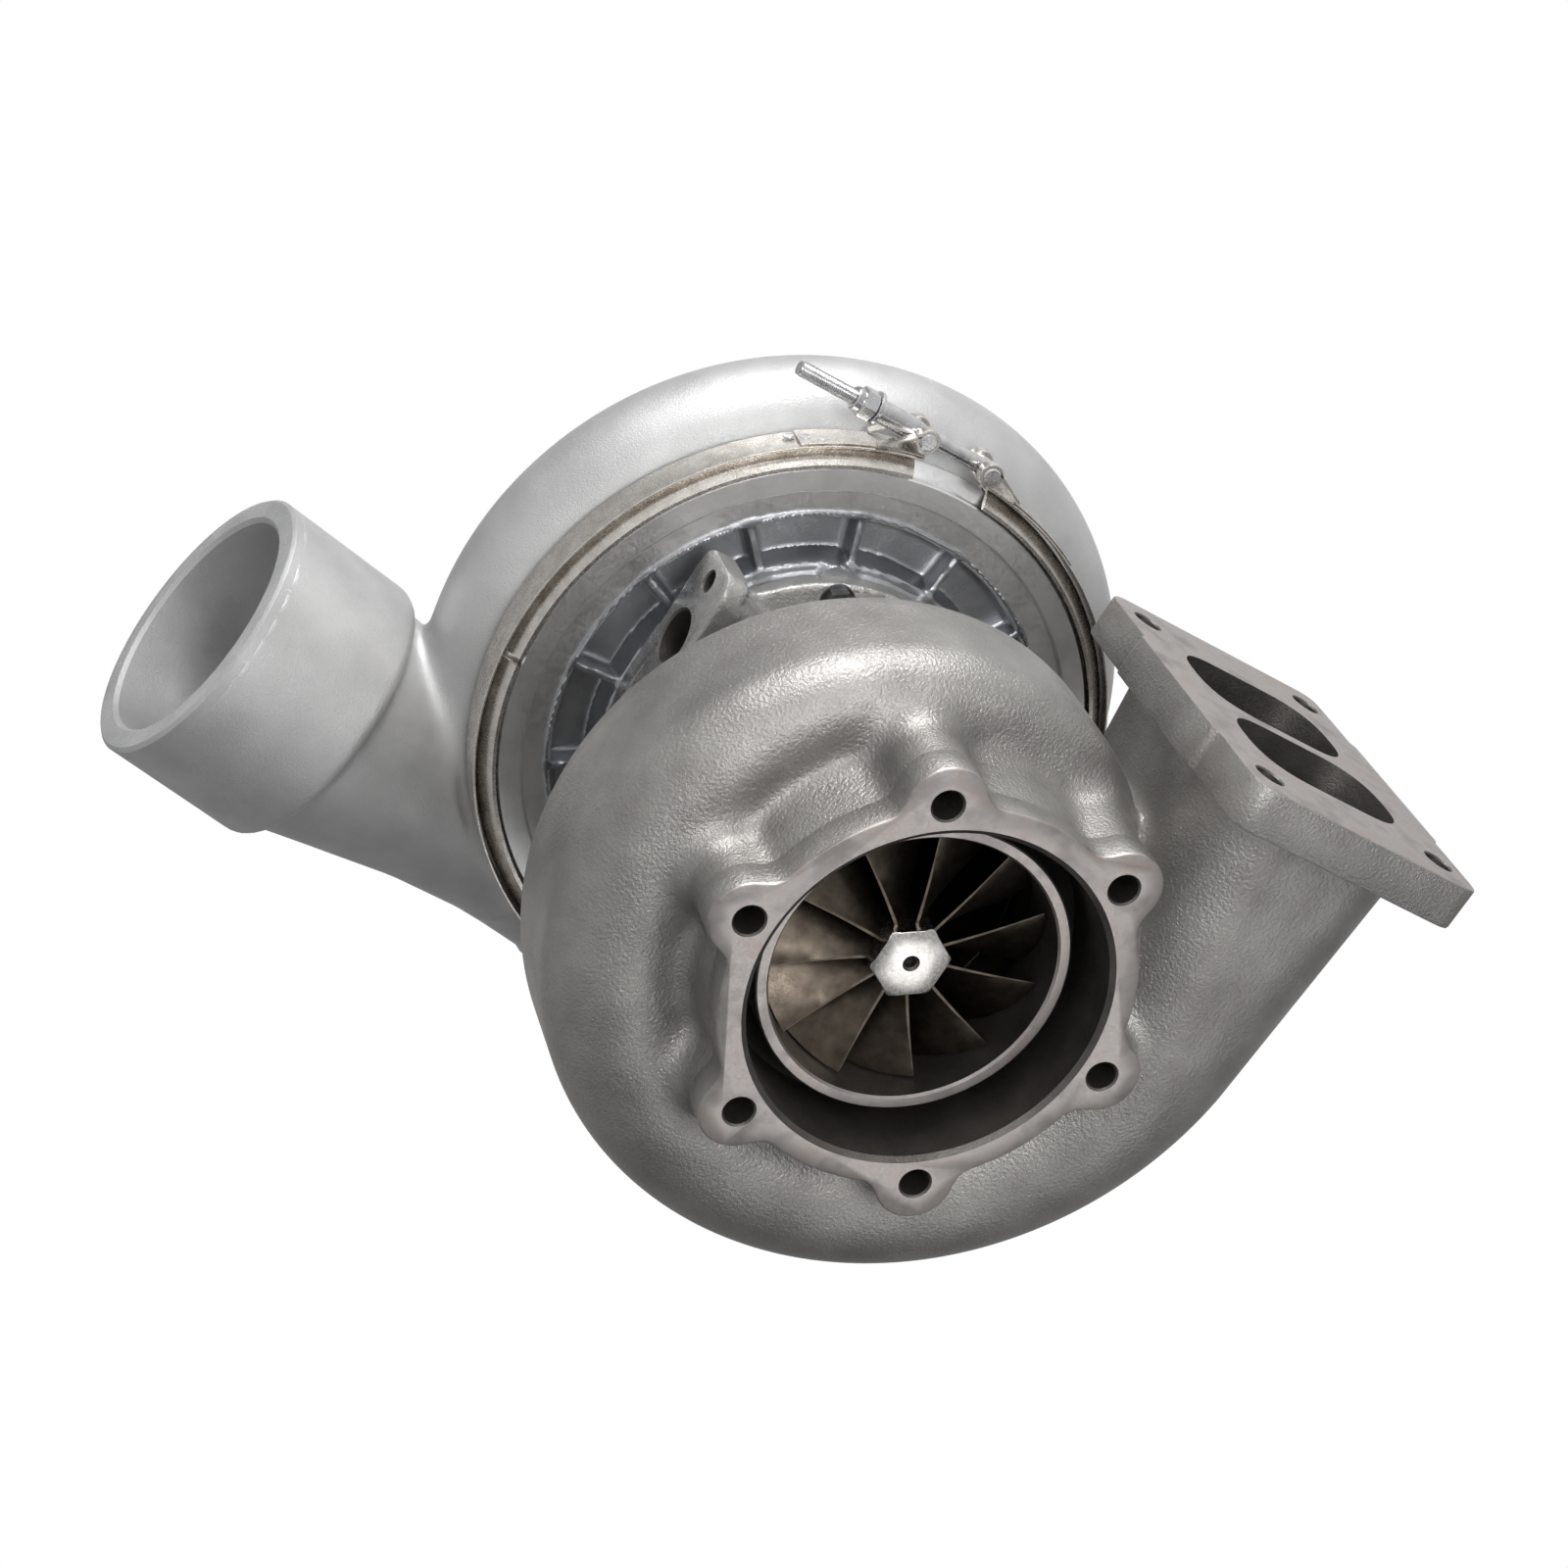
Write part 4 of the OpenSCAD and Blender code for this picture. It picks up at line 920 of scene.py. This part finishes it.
def build_clamp():
    strap = arc_sweep("clamp_strap_band", strip(127.4, 8, 1.0), GAP + STRAP_GAP, 2 * math.pi - 2 * STRAP_GAP,
                      CLAMP_STEEL, 320)
    doubler = strip(128.42, 7, 1.0)
    ends = [arc_sweep("strap_end_a", doubler, GAP + STRAP_GAP, math.radians(22), CLAMP_STEEL, 30),
            arc_sweep("strap_end_b", doubler, GAP - STRAP_GAP - math.radians(24), math.radians(17),
                      CLAMP_STEEL, 26)]
    for k in range(3):
        turn = math.radians(208.5 + 2.6 * k)
        side = (k - 1) * 2.4
        spot = (129.42 * math.cos(turn), JOINT_Y + side, 129.42 * math.sin(turn))
        dimple = [(0, -0.2), (2.3, -0.2), (2.2, 0.12), (1.7, 0.05), (0, -0.05)]
        weld = lathe(f"weld_{k}", dimple, BRIGHT_STEEL, 24,
                     along(spot, (math.cos(turn), 0, math.sin(turn))))
        ends.append(weld)
    for z, lead in ((HEAD_Z, 1), (SADDLE_Z, -1)):
        for side in (-1, 1):
            eye = lathe("eye", [(3.58, -2.2), (4.6, -2.2), (4.9, -1.9), (4.9, 1.9), (4.6, 2.2), (3.58, 2.2)],
                        CLAMP_STEEL, 40, along((BOLT_X, JOINT_Y + side * 7, z), (0, 1, 0)))
            foot = [(0.4, 0), (1.5, 0), (1.5, 15), (0.4, 15)]
            verts = []
            for width in (-2.2, 2.2):
                for out, run in foot:
                    height = z + lead * (1.5 + run)
                    base = -math.sqrt(max(129.4 ** 2 - height ** 2, 0))
                    lean = (BOLT_X - 4.2 - base) * max(0, 1 - run / 11) if run < 11 else 0
                    verts.append((base - out * 0.7 + lean * 0.75, JOINT_Y + side * 7 + width, height))
            faces = [(0, 1, 2, 3), (7, 6, 5, 4), (0, 4, 5, 1), (1, 5, 6, 2), (2, 6, 7, 3), (3, 7, 4, 0)]
            tongue = mesh_object("tongue", verts, faces, CLAMP_STEEL)
            outward(tongue)
            ends += [eye, tongue]
    join(strap, ends)
    finish_piece(strap, "casing", ["clamp_strap"])
    outer_half = [(126.35, 3), (126.1, 3.6), (123.6, 6.6), (121.2, 9), (119.8, 9)]
    inner_half = [(119.8, 7.6), (122.4, 5), (125.2, 2.3), (125.35, 1.8)]
    one_side = outer_half + inner_half
    section = [(r, JOINT_Y + y) for r, y in one_side] + [(r, JOINT_Y - y) for r, y in one_side[::-1]]
    free = 2 * math.pi - 2 * STRAP_GAP - math.radians(2)
    parts = [arc_sweep("segment", section, GAP + STRAP_GAP + math.radians(1) + i * free / 4,
                       free / 4 - math.radians(1.4), CLAMP_STEEL, 72) for i in range(4)]
    segments = parts[0]
    segments.name = "clamp_v_segments"
    join(segments, parts[1:])
    finish_piece(segments, "casing", ["clamp_segments"])


def threaded_rod(name, radius, low, high, pitch, mat):
    """Rod along Z with a helical thread cut to its lower part."""
    sides, rows = 40, int((high - low) / pitch * 8)
    thread_top = -30
    verts, faces = [], []
    for i in range(rows + 1):
        z = low + (high - low) * i / rows
        for j in range(sides):
            phase = (z / pitch - j / sides) % 1
            tooth = abs(phase - 0.5) * 2
            depth = 0.55 * (1 - tooth) if z < thread_top else 0
            ease = min(1, (z - low) / 1.2)
            r = (radius - 0.5) + (0.5 - depth) * max(ease, 0.2)
            verts.append((r * math.cos(2 * math.pi * j / sides), r * math.sin(2 * math.pi * j / sides), z))
    for i in range(rows):
        for j in range(sides):
            k = (j + 1) % sides
            faces.append([i * sides + j, i * sides + k, (i + 1) * sides + k, (i + 1) * sides + j])
    faces.append(list(range(sides)))
    faces.append(list(range(rows * sides, (rows + 1) * sides))[::-1])
    rod = mesh_object(name, verts, faces, mat)
    outward(rod)
    rod.data.transform(Matrix.Translation(Vector((BOLT_X, JOINT_Y, 0)) * MM))
    return rod


def build_clamp_hardware():
    bolt = threaded_rod("clamp_t_bolt_rod", 3.175, NUT_Z - 34, HEAD_Z + 5, 0.907, BRIGHT_STEEL)
    finish_piece(bolt, "casing", ["clamp_t_bolt"], math.radians(60))
    for name, z in (("head", HEAD_Z), ("saddle", SADDLE_Z)):
        pin_outline = [(0, -10), (2.9, -10), (3.5, -9.4), (3.5, 9.4), (2.9, 10), (0, 10)]
        pin = lathe(f"clamp_{name}_trunnion", pin_outline, BRIGHT_STEEL, 40,
                    along((BOLT_X, JOINT_Y, z), (0, 1, 0)))
        bore = lathe("pin_bore", [(0, -8), (3.22, -8), (3.22, 8), (0, 8)], BRIGHT_STEEL, 32,
                     along((BOLT_X, JOINT_Y, z), (0, 0, 1)))
        combine(pin, [bore], "DIFFERENCE")
        finish_piece(pin, "casing", [f"clamp_{name}_pin"])
    down = along((BOLT_X, JOINT_Y, 0), (0, 0, 1))
    sleeve_low, sleeve_high = NUT_Z + 1.9, SADDLE_Z - 3.5
    sleeve = lathe("clamp_sleeve_tube", [(3.28, sleeve_low), (4.3, sleeve_low), (4.6, sleeve_low + 0.3),
                                         (4.6, sleeve_high - 0.3), (4.3, sleeve_high), (3.28, sleeve_high)],
                   BRIGHT_STEEL, 48, down)
    finish_piece(sleeve, "casing", ["clamp_sleeve"])
    washer = lathe("clamp_washer_disc", [(3.26, NUT_Z + 0.2), (6.6, NUT_Z + 0.2), (6.8, NUT_Z + 0.4),
                                         (6.8, NUT_Z + 1.5), (6.6, NUT_Z + 1.7), (3.26, NUT_Z + 1.7)],
                   BRIGHT_STEEL, 48, down)
    finish_piece(washer, "clamp_washer_slider", ["clamp_washer"])
    across = 11.1 / math.sqrt(3)
    hexagon = [(across * math.cos(math.radians(60 * i)), across * math.sin(math.radians(60 * i)))
               for i in range(6)]
    nut = prism("clamp_lock_nut", round_corners(hexagon, 0.4, 3), 6, 0.3, BRIGHT_STEEL,
                along((BOLT_X, JOINT_Y, NUT_Z - 6), (0, 0, 1)))
    crown = lathe("nut_crown", [(0, NUT_Z - 10), (5.3, NUT_Z - 10), (5.3, NUT_Z - 6), (6.6, NUT_Z - 5.2),
                                (6.6, NUT_Z - 0.8), (5.5, NUT_Z), (0, NUT_Z)], BRIGHT_STEEL, 48, down)
    combine(nut, [crown], "INTERSECT")
    collar = lathe("nut_collar", [(0, NUT_Z - 9), (4.2, NUT_Z - 9), (4.7, NUT_Z - 8.4), (4.8, NUT_Z - 5),
                                  (0, NUT_Z - 5)], BRIGHT_STEEL, 48, down)
    combine(nut, [collar], "UNION")
    hole_outline = [(0, NUT_Z - 12), (3.24, NUT_Z - 12), (3.24, NUT_Z + 2), (0, NUT_Z + 2)]
    hole = lathe("nut_hole", hole_outline, BRIGHT_STEEL, 40, down)
    combine(nut, [hole], "DIFFERENCE")
    finish_piece(nut, "clamp_nut_turner", ["clamp_nut"])


# ---------------------------------------------------------------- carried-over CAD nodes

CARRIED = {
    "rotor_shaft": BRIGHT_STEEL,
    "thrust_collar": BRIGHT_STEEL,
    "oil_flinger": BRIGHT_STEEL,
    "compressor_nut": BRIGHT_STEEL,
    "seal_plate": BRIGHT_STEEL,
    "heat_shield": HEAT_TINT,
    "turbine_seal_ring": DARK_STEEL,
    "compressor_seal_ring": DARK_STEEL,
    "bearing_retaining_rings": DARK_STEEL,
    "seal_plate_ring": DARK_STEEL,
    "turbine_housing_bolts": DARK_STEEL,
    "backplate_bolts": DARK_STEEL,
    "journal_bearing_turbine": BRONZE,
    "journal_bearing_compressor": BRONZE,
    "thrust_bearing": BRONZE,
    "backplate_oring": RUBBER,
}


def dress_carried():
    for name, mat in CARRIED.items():
        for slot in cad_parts[name].material_slots:
            slot.material = mat


# ---------------------------------------------------------------- stage

def area_light(name, direction, distance, size, power, tint=(1, 1, 1)):
    light = bpy.data.lights.new(name, "AREA")
    light.shape = "SQUARE"
    light.size = size
    light.energy = power
    light.color = tint
    lamp = bpy.data.objects.new(name, light)
    bpy.context.scene.collection.objects.link(lamp)
    target = Vector((0, 0.16, 0))
    lamp.location = target + Vector(direction).normalized() * distance
    lamp.rotation_euler = (target - lamp.location).to_track_quat("-Z", "Y").to_euler()


def build_stage():
    bpy.ops.mesh.primitive_plane_add(size=8, location=(0, 0.15, -0.75))
    floor = bpy.context.object
    floor.name = "floor"
    floor.data.materials.append(shader("floor_pale", 0.0, (0.86, 0.86, 0.86), 0.7)[0])
    world = bpy.data.worlds.new("studio")
    bpy.context.scene.world = world
    world.use_nodes = True
    tree = world.node_tree
    sky = tree.nodes["Background"]
    coords = tree.nodes.new("ShaderNodeTexCoord").outputs["Generated"]
    dot = tree.nodes.new("ShaderNodeVectorMath")
    dot.operation = "DOT_PRODUCT"
    dot.inputs[1].default_value = (-0.797, 0.470, -0.380)
    tree.links.new(coords, dot.inputs[0])
    shades = tree.nodes.new("ShaderNodeMapRange")
    shades.inputs["From Min"].default_value = -0.9
    shades.inputs["From Max"].default_value = 0.9
    shades.inputs["To Min"].default_value = 0.13
    shades.inputs["To Max"].default_value = 0.95
    tree.links.new(dot.outputs["Value"], shades.inputs["Value"])
    tree.links.new(shades.outputs["Result"], sky.inputs["Color"])
    white = tree.nodes.new("ShaderNodeBackground")
    white.inputs["Color"].default_value = (1, 1, 1, 1)
    seen = tree.nodes.new("ShaderNodeLightPath").outputs["Is Camera Ray"]
    pick = tree.nodes.new("ShaderNodeMixShader")
    tree.links.new(seen, pick.inputs["Fac"])
    tree.links.new(sky.outputs["Background"], pick.inputs[1])
    tree.links.new(white.outputs["Background"], pick.inputs[2])
    tree.links.new(pick.outputs["Shader"], tree.nodes["World Output"].inputs["Surface"])
    area_light("key", (-0.95, 0.05, -0.45), 1.4, 0.6, 20)
    area_light("front", (-0.45, -1.0, -0.15), 1.6, 0.6, 10)
    area_light("side", (0.35, -0.3, -1.0), 1.4, 0.5, 7)
    area_light("back", (0.30, -0.85, 0.45), 1.7, 0.9, 3.5)


def build_camera():
    camera = bpy.data.cameras.new("camera")
    camera.lens = 73.547
    camera.sensor_width = 36
    camera.clip_start, camera.clip_end = 0.05, 20
    thing = bpy.data.objects.new("camera", camera)
    bpy.context.scene.collection.objects.link(thing)
    right = Vector((-0.530226, -0.242368, 0.812477))
    up = Vector((-0.796681, 0.470306, -0.379621))
    back = Vector((-0.290105, -0.848569, -0.442458))
    thing.matrix_world = (Matrix.Translation((-0.351249, -0.884855, -0.555354))
                          @ Matrix((right, up, back)).transposed().to_4x4())
    bpy.context.scene.camera = thing


build_camera()
build_stage()
dress_carried()
build_turbine_housing()
build_compressor_housing()
build_centre_housing()
build_backplate()
build_turbine_wheel()
build_compressor_wheel()
build_clamp()
build_clamp_hardware()
bpy.context.scene.view_settings.view_transform = "Standard"
